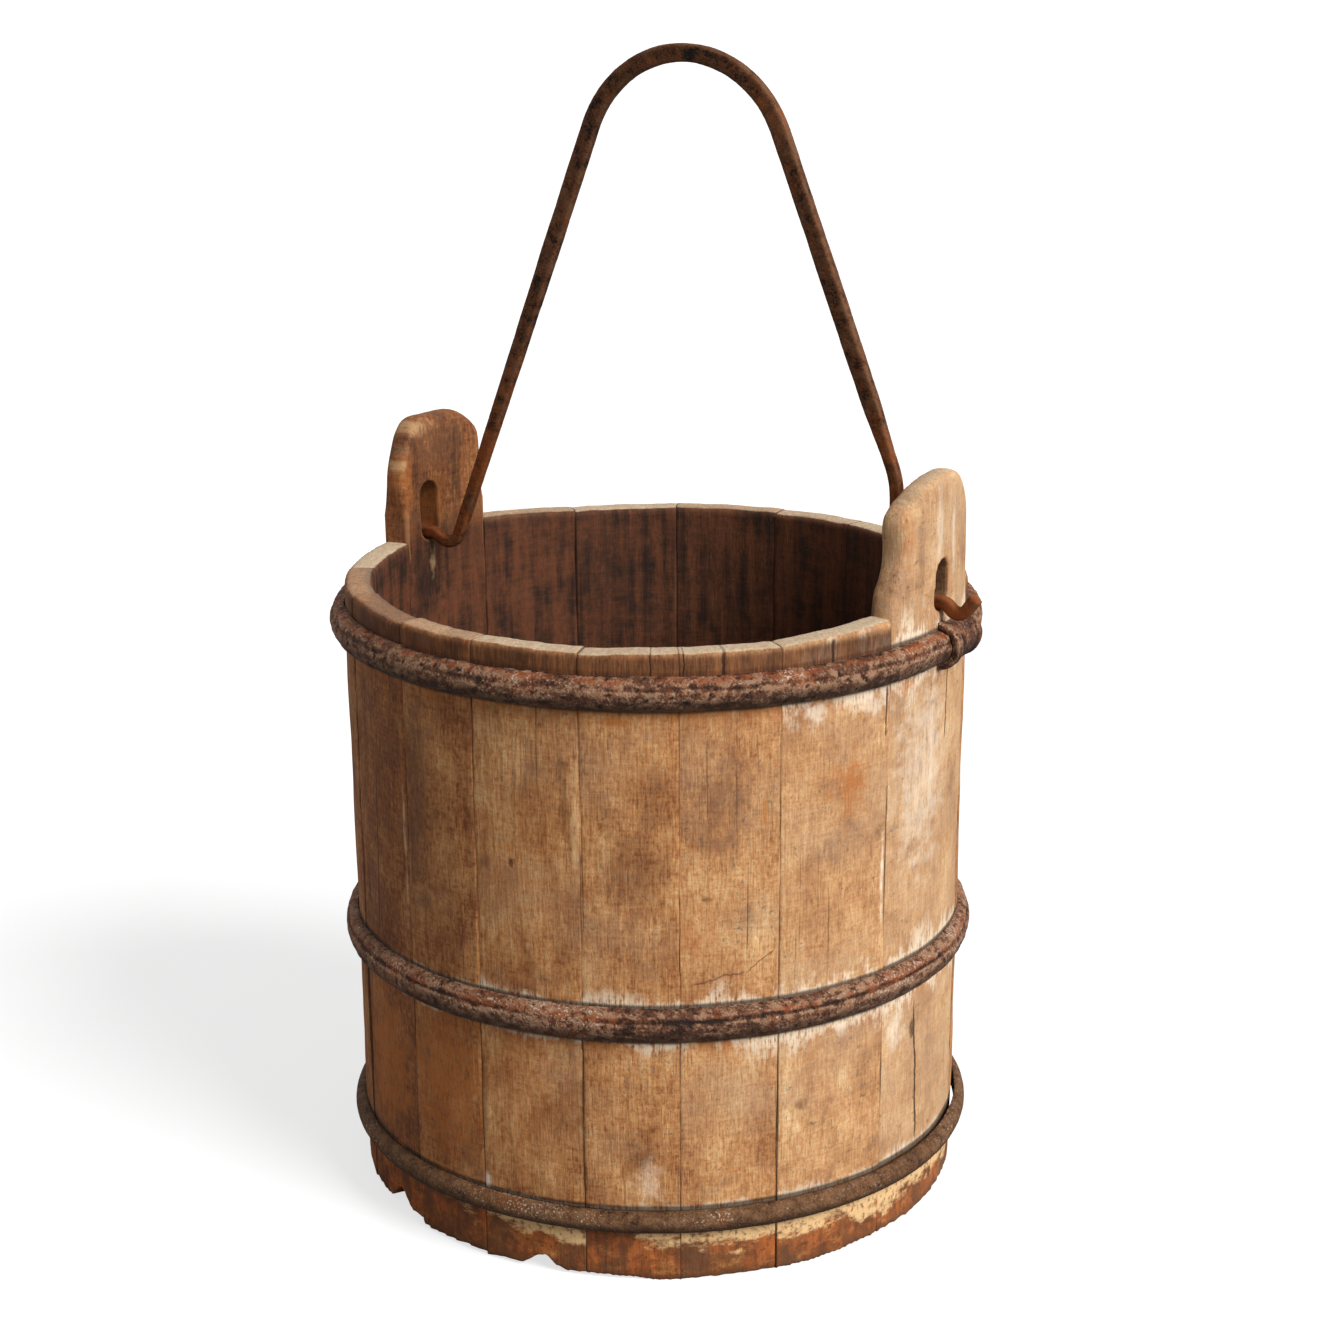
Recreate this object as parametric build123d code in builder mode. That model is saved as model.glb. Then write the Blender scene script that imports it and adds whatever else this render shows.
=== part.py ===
from build123d import *
import os
from math import asin, atan2, cos, degrees, hypot, radians, sin, sqrt, tan

# A coopered pail: wooden staves bound by three iron hoops, a bottom of boards set in a groove,
# and a forged iron bail that hooks through two tall ear staves and swings.
# Millimetres. The origin is on the ground at the middle of the foot, +Z is up,
# and the ears stand at either end of the X axis.

# Tub
FOOT_RADIUS = 152.0
RIM_RADIUS = 154.0
RIM_HEIGHT = 310.0
STAVE_THICKNESS = 14.0
RIM_ROUNDING = 3.5
FOOT_ROUNDING = 3.0

# Staves, with widths measured round the outside of the rim
RIGHT_EAR_WIDTH = 88.0
LEFT_EAR_WIDTH = 67.0
RIGHT_EAR_ANGLE = 1.6
LEFT_EAR_ANGLE = 174.5
BACK_STAVE_WIDTHS = (50.0, 51.0, 50.0, 51.0, 61.0, 61.0, 61.0)
FRONT_STAVE_WIDTHS = (57.0, 57.0, 57.0, 45.0, 53.0, 45.0, 47.0, 61.0)
BACK_FOOT_WEAR = (0.0, 1.5, 0.0, 2.0, 0.0, 1.0, 3.0)
FRONT_FOOT_WEAR = (0.0, 1.0, 5.0, 2.0, 5.0, 1.5, 0.0, 0.0)

# Ears and their slots
EAR_RISE = 63.5
EAR_SHOULDER = 4.0
EAR_NECK = 26.0
EAR_NECK_BEND = 20.0
EAR_CUT_MARGIN = 5.0
RIGHT_EAR_INSETS = (8.0, 2.0)
LEFT_EAR_INSETS = (2.0, 2.0)
RIGHT_CROWN_RISE = 17.0
LEFT_CROWN_RISE = 24.0
CROWN_CORNER = 12.0
SLOT_WIDTH = 15.5
RIGHT_SLOT_LENGTH = 25.0
LEFT_SLOT_LENGTH = 31.0
SLOT_DROP = 3.5

# Pegs between the staves
PEG_DIAMETER = 6.0
PEG_LENGTH = 24.0
PEG_HEIGHTS = (85.0, 215.0)
PEG_CLEARANCE = 0.2

# Bottom boards, set in a groove, and the pegs between them
BOTTOM_LIFT = 25.0
BOTTOM_THICKNESS = 16.0
BOARD_COUNT = 4
GROOVE_DEPTH = 5.0
GROOVE_CLEARANCE = 0.3
BOARD_PEG_DIAMETER = 7.0
BOARD_PEG_LENGTH = 36.0
BOARD_PEG_SPACING = 75.0
BOARD_PEG_COUNT = 3

# Hoops of half-round iron
HOOP_CLEARANCE = 0.2
TOP_HOOP_DROP = 20.0
TOP_HOOP_TALL = 16.0
TOP_HOOP_PROUD = 7.5
MIDDLE_HOOP_HEIGHT = 131.0
MIDDLE_HOOP_TALL = 16.5
MIDDLE_HOOP_PROUD = 6.3
BOTTOM_HOOP_HEIGHT = 31.5
BOTTOM_HOOP_TALL = 11.0
BOTTOM_HOOP_PROUD = 5.5
BOTTOM_HOOP_SLACK = 0.9

# Clip folded over the butting ends of the top hoop
CLIP_ANGLE = 6.0
CLIP_LENGTH = 33.0
CLIP_THICKNESS = 2.4
CLIP_RIM_WIDTH = 5.0
CLIP_RIM_PROUD = 1.2
HOOP_END_GAP = 1.0

# Bail
BAIL_RISE = 248.0
BAIL_SHIFT = 14.6
BAIL_SETBACK = 4.0
BOW_RADIUS = 56.0
BAIL_WIDTH = 8.8
BAIL_THICKNESS = 5.4
BAIL_BEVEL = 0.8
RIGHT_NECK_LENGTH = 20.0
LEFT_NECK_LENGTH = 150.0
NECK_RISE = 13.0

# Hooks at the ends of the bail
HOOK_WIDTH = 6.0
HOOK_PLAY = 0.2
RIGHT_HOOK_STANDOFF = 10.5
LEFT_HOOK_STANDOFF = 15.0
RIGHT_HOOK_DIP = 3.0
LEFT_HOOK_DIP = 7.0
RIGHT_HOOK_BEND = 4.0
LEFT_HOOK_BEND = 7.0
KNEE_BEND = 40.0
SILL_MARGIN = 2.5
SILL_BEND = 7.0
RIGHT_TIP_REACH = 17.5
RIGHT_TIP_RISE = 4.0
RIGHT_TIP_DIP = 8.0
RIGHT_TIP_DIP_REACH = 9.0
LEFT_TIP_REACH = 10.5
LEFT_TIP_RISE = 12.0
TIP_BEND = 5.0

EAR_TOP = RIM_HEIGHT + EAR_RISE
SLOT_BOTTOM = RIM_HEIGHT - SLOT_DROP
PIVOT_HEIGHT = SLOT_BOTTOM + hypot(HOOK_WIDTH, BAIL_THICKNESS) / 2 + HOOK_PLAY
TOP_HOOP_HEIGHT = RIM_HEIGHT - TOP_HOOP_DROP
RIGHT_EAR_ARC = degrees(RIGHT_EAR_WIDTH / RIM_RADIUS)
LEFT_EAR_ARC = degrees(LEFT_EAR_WIDTH / RIM_RADIUS)
RIGHT_EAR_START = RIGHT_EAR_ANGLE - RIGHT_EAR_ARC / 2
LEFT_EAR_START = LEFT_EAR_ANGLE - LEFT_EAR_ARC / 2

os.makedirs("parts", exist_ok=True)


def outside_radius(height):
    """Outside radius of the tapering tub at a height."""
    return FOOT_RADIUS + (RIM_RADIUS - FOOT_RADIUS) * height / RIM_HEIGHT


def inside_radius(height):
    """Inside radius of the tapering tub at a height."""
    return outside_radius(height) - STAVE_THICKNESS


def section_plane(angle):
    """Upright plane through the tub's axis: local X runs outwards and local Y runs up."""
    turn = radians(angle)
    return Plane(origin=(0, 0, 0), x_dir=(cos(turn), sin(turn), 0), z_dir=(sin(turn), -cos(turn), 0))


def ear_plane(angle):
    """Upright plane square to an ear: local X runs round the tub, local Y up and local Z outwards."""
    turn = radians(angle)
    return Plane(origin=(0, 0, 0), x_dir=(-sin(turn), cos(turn), 0), z_dir=(cos(turn), sin(turn), 0))


def share_arc(start, end, widths):
    """Start angle and arc of each stave, where staves of these widths fill the arc from start to end."""
    arcs = [(end - start) * width / sum(widths) for width in widths]
    starts = [start + sum(arcs[:place]) for place in range(len(arcs))]
    return list(zip(starts, arcs))


def peg_places(angles):
    """Places of the pegs that cross the stave joints at these angles, with local Z across the joint."""
    places = []
    for angle in angles:
        turn = radians(angle)
        for height in PEG_HEIGHTS:
            radius = outside_radius(height) - STAVE_THICKNESS / 2
            middle = (radius * cos(turn), radius * sin(turn), height)
            places.append(Location(Plane(origin=middle, z_dir=(-sin(turn), cos(turn), 0))))
    return places


def save(builder, name):
    """Label a finished piece and write it to its own file."""
    builder.part.label = name
    export_step(builder.part, f"parts/{name}.step")


def stave_outline(foot, top):
    """Corners of a stave's lengthwise section, with the groove for the bottom boards."""
    groove_top = BOTTOM_LIFT + BOTTOM_THICKNESS + GROOVE_CLEARANCE
    groove_radius = inside_radius(BOTTOM_LIFT) + GROOVE_DEPTH
    return [
        (inside_radius(foot), foot),
        (outside_radius(foot), foot),
        (outside_radius(top), top),
        (inside_radius(top), top),
        (inside_radius(groove_top), groove_top),
        (groove_radius, groove_top),
        (groove_radius, BOTTOM_LIFT),
        (inside_radius(BOTTOM_LIFT), BOTTOM_LIFT),
    ]


# Plain staves, counted anticlockwise from each ear
back_arcs = share_arc(RIGHT_EAR_START + RIGHT_EAR_ARC, LEFT_EAR_START, BACK_STAVE_WIDTHS)
front_arcs = share_arc(LEFT_EAR_START + LEFT_EAR_ARC, RIGHT_EAR_START + 360, FRONT_STAVE_WIDTHS)
plain_staves = []
for side, arcs, wears in (("back", back_arcs, BACK_FOOT_WEAR), ("front", front_arcs, FRONT_FOOT_WEAR)):
    for number, ((start, arc), wear) in enumerate(zip(arcs, wears), 1):
        plain_staves.append((f"{side}_stave_{number}", start, arc, wear))

for name, start, arc, wear in plain_staves:
    with BuildPart() as stave:
        with BuildSketch(section_plane(start)) as section:
            with BuildLine():
                Polyline(*stave_outline(wear, RIM_HEIGHT), close=True)
            make_face()
            fillet(section.vertices().group_by(Axis.Y)[-1], radius=RIM_ROUNDING)
            fillet(section.vertices().group_by(Axis.Y)[0].sort_by(Axis.X)[-1], radius=FOOT_ROUNDING)
        revolve(axis=Axis.Z, revolution_arc=arc)
        with Locations(*peg_places((start, start + arc))):
            Cylinder(PEG_DIAMETER / 2 + PEG_CLEARANCE, PEG_LENGTH + 2 * PEG_CLEARANCE, mode=Mode.SUBTRACT)
    save(stave, name)

# Ear staves, with a round crown and a slot for the bail
right_slot_plane = Plane.YZ
left_slot_plane = Plane.YZ.offset(-2 * RIM_RADIUS)
ear_staves = (
    ("right_ear_stave", RIGHT_EAR_START, RIGHT_EAR_ARC, RIGHT_EAR_INSETS, RIGHT_CROWN_RISE, right_slot_plane,
     RIGHT_SLOT_LENGTH),
    ("left_ear_stave", LEFT_EAR_START, LEFT_EAR_ARC, LEFT_EAR_INSETS, LEFT_CROWN_RISE, left_slot_plane,
     LEFT_SLOT_LENGTH),
)
for name, start, arc, insets, crown_rise, slot_plane, slot_length in ear_staves:
    half_width = RIM_RADIUS * sin(radians(arc / 2))
    left_side = insets[0] - half_width
    right_side = half_width - insets[1]
    clear_side = half_width + EAR_CUT_MARGIN
    neck = RIM_HEIGHT + EAR_NECK
    shoulder = RIM_HEIGHT + EAR_SHOULDER
    crown_foot = EAR_TOP - crown_rise
    with BuildPart() as ear:
        with BuildSketch(section_plane(start)) as section:
            with BuildLine():
                Polyline(*stave_outline(0, EAR_TOP), close=True)
            make_face()
            fillet(section.vertices().group_by(Axis.Y)[0].sort_by(Axis.X)[-1], radius=FOOT_ROUNDING)
        revolve(axis=Axis.Z, revolution_arc=arc)
        with BuildSketch(ear_plane(start + arc / 2)) as shape:
            with BuildLine():
                Polyline(
                    (left_side, crown_foot),
                    (left_side, neck),
                    (-clear_side, shoulder),
                    (-clear_side, -EAR_CUT_MARGIN),
                    (clear_side, -EAR_CUT_MARGIN),
                    (clear_side, shoulder),
                    (right_side, neck),
                    (right_side, crown_foot),
                )
                ThreePointArc(
                    (right_side, crown_foot),
                    ((left_side + right_side) / 2, EAR_TOP),
                    (left_side, crown_foot),
                )
            make_face()
            fillet(shape.vertices().group_by(Axis.Y)[-2], radius=EAR_NECK_BEND)
            fillet(shape.vertices().group_by(Axis.Y)[-1], radius=CROWN_CORNER)
        extrude(amount=2 * RIM_RADIUS, both=True, mode=Mode.INTERSECT)
        with BuildSketch(slot_plane):
            with Locations((BAIL_SETBACK, SLOT_BOTTOM + slot_length / 2)):
                SlotOverall(slot_length, SLOT_WIDTH, rotation=90)
        extrude(amount=2 * RIM_RADIUS, mode=Mode.SUBTRACT)
        with Locations(*peg_places((start, start + arc))):
            Cylinder(PEG_DIAMETER / 2 + PEG_CLEARANCE, PEG_LENGTH + 2 * PEG_CLEARANCE, mode=Mode.SUBTRACT)
    save(ear, name)

with BuildPart() as stave_pegs:
    joint_angles = [RIGHT_EAR_START, LEFT_EAR_START] + [start for name, start, arc, wear in plain_staves]
    with Locations(*peg_places(joint_angles)):
        Cylinder(PEG_DIAMETER / 2, PEG_LENGTH)
save(stave_pegs, "stave_pegs")

# Bottom boards, lying along X
bottom_radius = inside_radius(BOTTOM_LIFT) + GROOVE_DEPTH - GROOVE_CLEARANCE
board_width = 2 * bottom_radius / BOARD_COUNT
board_joints = [board_width * (place - BOARD_COUNT / 2) for place in range(1, BOARD_COUNT)]
peg_shifts = [BOARD_PEG_SPACING * (place - (BOARD_PEG_COUNT - 1) / 2) for place in range(BOARD_PEG_COUNT)]
board_peg_places = [
    Location(Plane(origin=(across, joint, BOTTOM_LIFT + BOTTOM_THICKNESS / 2), z_dir=(0, 1, 0)))
    for joint in board_joints
    for across in peg_shifts
]
for number in range(1, BOARD_COUNT + 1):
    board_middle = board_width * (number - (BOARD_COUNT + 1) / 2)
    with BuildPart() as board:
        with BuildSketch(Plane.XY.offset(BOTTOM_LIFT)):
            Circle(bottom_radius)
            with Locations((0, board_middle)):
                Rectangle(2 * bottom_radius, board_width, mode=Mode.INTERSECT)
        extrude(amount=BOTTOM_THICKNESS)
        with Locations(*board_peg_places):
            Cylinder(BOARD_PEG_DIAMETER / 2 + PEG_CLEARANCE, BOARD_PEG_LENGTH + 2 * PEG_CLEARANCE,
                     mode=Mode.SUBTRACT)
    save(board, f"bottom_board_{number}")

with BuildPart() as bottom_pegs:
    with Locations(*board_peg_places):
        Cylinder(BOARD_PEG_DIAMETER / 2, BOARD_PEG_LENGTH)
save(bottom_pegs, "bottom_pegs")


def hoop_seat(height, tall):
    """Inside radius of a hoop that is driven onto the tub at a height."""
    return outside_radius(height + tall / 2) + HOOP_CLEARANCE


# Top hoop, an open ring whose ends butt under the clip
top_seat = hoop_seat(TOP_HOOP_HEIGHT, TOP_HOOP_TALL)
end_gap = degrees(HOOP_END_GAP / top_seat)
with BuildPart() as top_hoop:
    with BuildSketch(section_plane(CLIP_ANGLE + end_gap / 2)):
        with BuildLine():
            ThreePointArc(
                (top_seat, TOP_HOOP_HEIGHT - TOP_HOOP_TALL / 2),
                (top_seat + TOP_HOOP_PROUD, TOP_HOOP_HEIGHT),
                (top_seat, TOP_HOOP_HEIGHT + TOP_HOOP_TALL / 2),
            )
            Line((top_seat, TOP_HOOP_HEIGHT + TOP_HOOP_TALL / 2), (top_seat, TOP_HOOP_HEIGHT - TOP_HOOP_TALL / 2))
        make_face()
    revolve(axis=Axis.Z, revolution_arc=360 - end_gap)
save(top_hoop, "top_hoop")

# Clip: a strap folded over the hoop, with a raised rim at each end
clip_arc = degrees(CLIP_LENGTH / top_seat)
clip_start = CLIP_ANGLE - clip_arc / 2
rim_arc = degrees(CLIP_RIM_WIDTH / top_seat)
clip_bands = (
    (clip_start, rim_arc, CLIP_RIM_PROUD),
    (clip_start + rim_arc, clip_arc - 2 * rim_arc, 0),
    (clip_start + clip_arc - rim_arc, rim_arc, CLIP_RIM_PROUD),
)
with BuildPart() as hoop_clip:
    for band_start, band_arc, band_proud in clip_bands:
        with BuildSketch(section_plane(band_start)):
            for reach, use in ((CLIP_THICKNESS + band_proud, Mode.ADD), (0, Mode.SUBTRACT)):
                half_tall = TOP_HOOP_TALL / 2 + HOOP_CLEARANCE + reach
                face_radius = top_seat + TOP_HOOP_PROUD + HOOP_CLEARANCE + reach
                with BuildLine():
                    ThreePointArc(
                        (top_seat, TOP_HOOP_HEIGHT - half_tall),
                        (face_radius, TOP_HOOP_HEIGHT),
                        (top_seat, TOP_HOOP_HEIGHT + half_tall),
                    )
                    Line((top_seat, TOP_HOOP_HEIGHT + half_tall), (top_seat, TOP_HOOP_HEIGHT - half_tall))
                make_face(mode=use)
        revolve(axis=Axis.Z, revolution_arc=band_arc)
save(hoop_clip, "hoop_clip")

# Closed hoops: the lowest one is slack and hangs over towards +X
closed_hoops = (
    ("middle_hoop", MIDDLE_HOOP_HEIGHT, MIDDLE_HOOP_TALL, MIDDLE_HOOP_PROUD, 0),
    ("bottom_hoop", BOTTOM_HOOP_HEIGHT, BOTTOM_HOOP_TALL, BOTTOM_HOOP_PROUD, BOTTOM_HOOP_SLACK),
)
for name, height, tall, proud, slack in closed_hoops:
    seat = hoop_seat(height, tall) + slack
    with BuildPart() as hoop:
        with BuildSketch(Plane.XZ):
            with BuildLine():
                ThreePointArc(
                    (slack + seat, height - tall / 2),
                    (slack + seat + proud, height),
                    (slack + seat, height + tall / 2),
                )
                Line((slack + seat, height + tall / 2), (slack + seat, height - tall / 2))
            make_face()
        revolve(axis=Axis((slack, 0, 0), (0, 0, 1)), revolution_arc=360)
    save(hoop, name)

# Bail: a flat bar bent in one upright plane, drawn as its outline and given its thickness
wall_in = sqrt(inside_radius(PIVOT_HEIGHT) ** 2 - BAIL_SETBACK ** 2)
wall_out = sqrt(outside_radius(PIVOT_HEIGHT) ** 2 - BAIL_SETBACK ** 2)
bow_middle = (BAIL_SHIFT, PIVOT_HEIGHT + BAIL_RISE - BOW_RADIUS)
left_corner = (-(wall_in - LEFT_HOOK_STANDOFF), PIVOT_HEIGHT - LEFT_HOOK_DIP)
right_corner = (wall_in - RIGHT_HOOK_STANDOFF, PIVOT_HEIGHT - RIGHT_HOOK_DIP)
corner_across = bow_middle[0] - left_corner[0]
corner_up = bow_middle[1] - left_corner[1]
# The legs leave the bow as tangents that aim at the left hook
splay = atan2(corner_across, corner_up) - asin(BOW_RADIUS / hypot(corner_across, corner_up))
peak = (BAIL_SHIFT, bow_middle[1] + BOW_RADIUS / sin(splay))


def leg_point(side, height, sideways=0.0):
    """Point on a leg's line at a height, or beside it by a distance square to the leg."""
    across = side * (peak[1] - height) * tan(splay)
    return (peak[0] + across + sideways * cos(splay), height + side * sideways * sin(splay))


knee = (right_corner[0], peak[1] - (right_corner[0] - peak[0]) / tan(splay))
# Outside the wall the right end dips and rises again, and the left end turns straight up
right_tip = [
    (wall_out + SILL_MARGIN, PIVOT_HEIGHT),
    (wall_out + RIGHT_TIP_DIP_REACH, PIVOT_HEIGHT - RIGHT_TIP_DIP),
    (wall_out + RIGHT_TIP_REACH, PIVOT_HEIGHT + RIGHT_TIP_RISE),
]
left_tip = [
    (-wall_out - LEFT_TIP_REACH, PIVOT_HEIGHT),
    (-wall_out - LEFT_TIP_REACH, PIVOT_HEIGHT + LEFT_TIP_RISE),
]
hooks = (
    (-1, [left_corner], left_tip, [LEFT_HOOK_BEND, SILL_BEND, TIP_BEND], LEFT_NECK_LENGTH),
    (1, [knee, right_corner], right_tip, [KNEE_BEND, RIGHT_HOOK_BEND, SILL_BEND, SILL_BEND, TIP_BEND],
     RIGHT_NECK_LENGTH),
)
neck_feet = [bends[0][1] + NECK_RISE for side, bends, tip, bend_radii, neck_length in hooks]
neck_tops = [foot + hook[-1] for foot, hook in zip(neck_feet, hooks)]
bail_plane = Plane(origin=(0, BAIL_SETBACK, 0), x_dir=(1, 0, 0), z_dir=(0, -1, 0))
with BuildPart() as bail:
    with BuildSketch(bail_plane):
        with BuildLine():
            FilletPolyline(
                leg_point(-1, neck_tops[0]),
                peak,
                leg_point(1, neck_tops[1]),
                radius=BOW_RADIUS,
            )
        trace(line_width=BAIL_WIDTH)
        for (side, bends, tip, bend_radii, neck_length), neck_foot, neck_top in zip(hooks, neck_feet, neck_tops):
            with BuildLine():
                Polyline(
                    leg_point(side, neck_top, -BAIL_WIDTH / 2),
                    leg_point(side, neck_top, BAIL_WIDTH / 2),
                    leg_point(side, neck_foot, HOOK_WIDTH / 2),
                    leg_point(side, neck_foot, -HOOK_WIDTH / 2),
                    close=True,
                )
            make_face()
            with BuildLine():
                FilletPolyline(
                    leg_point(side, neck_foot),
                    *bends,
                    (side * (wall_in - SILL_MARGIN), PIVOT_HEIGHT),
                    *tip,
                    radius=bend_radii,
                )
            trace(line_width=HOOK_WIDTH)
    extrude(amount=BAIL_THICKNESS / 2, both=True)
    for flat_face in bail.faces().filter_by(Axis.Y):
        chamfer(flat_face.edges(), length=BAIL_BEVEL)
save(bail, "bail")
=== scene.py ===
import logging
from collections.abc import Callable, Iterator
from contextlib import contextmanager
from dataclasses import dataclass, field
from enum import Enum
from math import atan2, cos, pi, radians, sin

import bpy
import numpy as np
from mathutils import Matrix, Vector


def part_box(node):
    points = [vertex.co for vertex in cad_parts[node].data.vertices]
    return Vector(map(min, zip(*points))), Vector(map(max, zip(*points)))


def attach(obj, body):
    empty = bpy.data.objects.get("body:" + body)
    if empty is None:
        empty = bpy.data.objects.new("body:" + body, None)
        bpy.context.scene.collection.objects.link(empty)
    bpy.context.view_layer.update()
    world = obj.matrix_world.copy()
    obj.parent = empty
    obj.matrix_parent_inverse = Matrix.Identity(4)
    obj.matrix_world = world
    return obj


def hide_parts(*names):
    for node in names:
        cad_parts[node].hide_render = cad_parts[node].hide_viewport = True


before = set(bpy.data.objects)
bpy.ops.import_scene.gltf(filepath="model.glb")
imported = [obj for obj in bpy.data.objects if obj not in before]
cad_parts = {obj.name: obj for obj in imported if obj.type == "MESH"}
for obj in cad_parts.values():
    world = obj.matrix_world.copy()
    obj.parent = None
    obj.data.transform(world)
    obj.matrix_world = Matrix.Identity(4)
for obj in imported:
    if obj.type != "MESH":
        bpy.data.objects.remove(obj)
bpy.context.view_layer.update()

# The weathered looks of a coopered pail: staves, bottom boards, three iron hoops, a clip and a forged bail.
# Metres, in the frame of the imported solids: +Z is up and the ears stand at either end of the X axis.

MM = 0.001
log = logging.getLogger("pail")

Piece = bpy.types.Object
Material = bpy.types.Material
NodeTree = bpy.types.NodeTree
Socket = bpy.types.NodeSocket
Colour = tuple[float, float, float, float]
Feed = Socket | float | tuple | str


class Body(Enum):
    """Bodies that a piece can ride on."""

    TUB = "tub"
    BAIL = "bail"


class Slot(Enum):
    """Names of material slots."""

    STAVE = "stave_wood"
    BOTTOM = "bottom_wood"
    HOOP = "hoop_iron"
    BAIL = "bail_iron"


class Tree(Enum):
    """Kinds of node tree."""

    SHADER = "ShaderNodeTree"
    GEOMETRY = "GeometryNodeTree"


class Face(Enum):
    """Faces of a stave that a mark lies on."""

    OUTSIDE = "outside"
    INSIDE = "inside"
    # Walls that face round the tub, such as the walls of an ear's slot, where painted shade is laid.
    SLOT = "slot"


class MarkKind(Enum):
    """Marks that age leaves on a stave."""

    KNOT = "knot"
    HOLE = "hole"
    GRIME = "grime"
    RUST = "rust"
    CHALK = "chalk"
    PALE = "pale"


KNOT, HOLE, GRIME, RUST, CHALK, PALE = MarkKind


def tint(code: str) -> Colour:
    """Turn a colour as it is seen on a screen into the linear colour of a socket.

    Args:
        code: Six hexadecimal digits, two each for red, green and blue.

    Returns:
        Linear red, green, blue and alpha.
    """
    shares = [int(code[place:place + 2], 16) / 255 for place in (0, 2, 4)]
    linear = [share / 12.92 if share <= 0.04045 else ((share + 0.055) / 1.055) ** 2.4 for share in shares]
    return (linear[0], linear[1], linear[2], 1.0)


def open_socket(sockets: bpy.types.NodeInputs, name: str) -> Socket:
    """Find the socket of this name that is in use, where a node keeps several."""
    return next(socket for socket in sockets if socket.name == name and socket.enabled)


def values(*names: str) -> dict[str, str]:
    """Sockets of a group that are plain numbers."""
    return {name: "value" for name in names}


class Graph:
    """Writes a node tree as plain expressions."""

    SOCKETS = {"geometry": "NodeSocketGeometry", "colour": "NodeSocketColor",
               "vector": "NodeSocketVector", "value": "NodeSocketFloat"}
    # Places of the share and the two colours among the inputs of a colour mix, and of its result
    MIX_INPUTS = (0, 6, 7)
    MIX_RESULT = 2

    def __init__(self, tree: NodeTree) -> None:
        """Work on one tree."""
        self.tree = tree
        self.given: dict[str, Socket] = {}

    @classmethod
    def group(cls, name: str, kind: Tree, inputs: dict[str, str], outputs: dict[str, str]) -> "Graph":
        """Start a node group with named sockets.

        Args:
            name: Name of the group.
            kind: Shader or geometry tree.
            inputs: Kind of each input by its name.
            outputs: Kind of each output by its name.

        Returns:
            A graph on the new group, with its inputs in given.
        """
        tree = bpy.data.node_groups.new(name, kind.value)
        for direction, sockets in (("INPUT", inputs), ("OUTPUT", outputs)):
            for label, sort in sockets.items():
                tree.interface.new_socket(label, in_out=direction, socket_type=cls.SOCKETS[sort])
        graph = cls(tree)
        source = tree.nodes.new("NodeGroupInput")
        graph.given = {label: source.outputs[label] for label in inputs}
        return graph

    def give(self, **results: Feed) -> NodeTree:
        """Feed the outputs of the group, with underscores for spaces, and return its tree."""
        self.put("NodeGroupOutput", **results)
        return self.tree

    def feed(self, socket: Socket, value: Feed) -> None:
        """Link a socket to another one, or set its value.

        Args:
            socket: Input to fill.
            value: Socket that it is linked to, or its plain value.
        """
        if isinstance(value, Socket):
            self.tree.links.new(value, socket)
        else:
            socket.default_value = value

    def put(self, kind: str, settings: dict | None = None, **feeds: Feed) -> bpy.types.Node:
        """Add a node.

        Args:
            kind: Blender's name of the node type.
            settings: Properties of the node.
            feeds: What each input takes, with underscores for spaces in its name.

        Returns:
            The new node.
        """
        node = self.tree.nodes.new(kind)
        for key, value in (settings or {}).items():
            setattr(node, key, value)
        for key, value in feeds.items():
            self.feed(open_socket(node.inputs, key.replace("_", " ")), value)
        return node

    def chain(self, kind: str, settings: dict, *terms: Feed) -> bpy.types.Node:
        """Add a node with its settings, whose inputs take the terms in their order.

        Args:
            kind: Blender's name of the node type.
            settings: Properties of the node.
            terms: What its inputs take, from the first one on.

        Returns:
            The new node.
        """
        node = self.put(kind, settings)
        for socket, term in zip(node.inputs, terms):
            self.feed(socket, term)
        return node

    def use(self, group: NodeTree, **feeds: Feed) -> bpy.types.NodeOutputs:
        """Place a shader group and return its outputs."""
        return self.put("ShaderNodeGroup", {"node_tree": group}, **feeds).outputs

    def surface(self) -> tuple[Socket, ...]:
        """Read the place and the normal of a point in a geometry tree."""
        kinds = ("GeometryNodeInputPosition", "GeometryNodeInputNormal")
        return tuple(self.put(kind).outputs[0] for kind in kinds)

    def math(self, operation: str, *terms: Feed) -> Socket:
        """Work out a number from one, two or three others."""
        return self.chain("ShaderNodeMath", {"operation": operation}, *terms).outputs[0]

    def minus(self, first: Feed, second: Feed) -> Socket:
        """Take a second number from a first one."""
        return self.math("SUBTRACT", first, second)

    def total(self, *terms: Feed) -> Socket:
        """Add up several numbers.

        Args:
            terms: The numbers.

        Returns:
            Their sum.
        """
        result = terms[0]
        for term in terms[1:]:
            result = self.math("ADD", result, term)
        return result

    def product(self, *terms: Feed) -> Socket:
        """Multiply several numbers.

        Args:
            terms: The numbers.

        Returns:
            Their product.
        """
        result = terms[0]
        for term in terms[1:]:
            result = self.math("MULTIPLY", result, term)
        return result

    def weigh(self, *shares: tuple[Feed, float], base: float = 0.0) -> Socket:
        """Add up several numbers, each with its own weight, and a base."""
        return self.total(*(self.product(value, weight) for value, weight in shares), base)

    def vector(self, operation: str, *terms: Feed) -> Socket:
        """Work out a vector, or the number that a dot product gives."""
        node = self.chain("ShaderNodeVectorMath", {"operation": operation}, *terms)
        return node.outputs["Value" if operation == "DOT_PRODUCT" else "Vector"]

    def stretch(self, vector: Feed, share: Feed) -> Socket:
        """Scale a vector by one number.

        Args:
            vector: The vector.
            share: The number.

        Returns:
            The scaled vector.
        """
        node = self.put("ShaderNodeVectorMath", {"operation": "SCALE"}, Scale=share)
        self.feed(node.inputs[0], vector)
        return node.outputs["Vector"]

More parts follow.
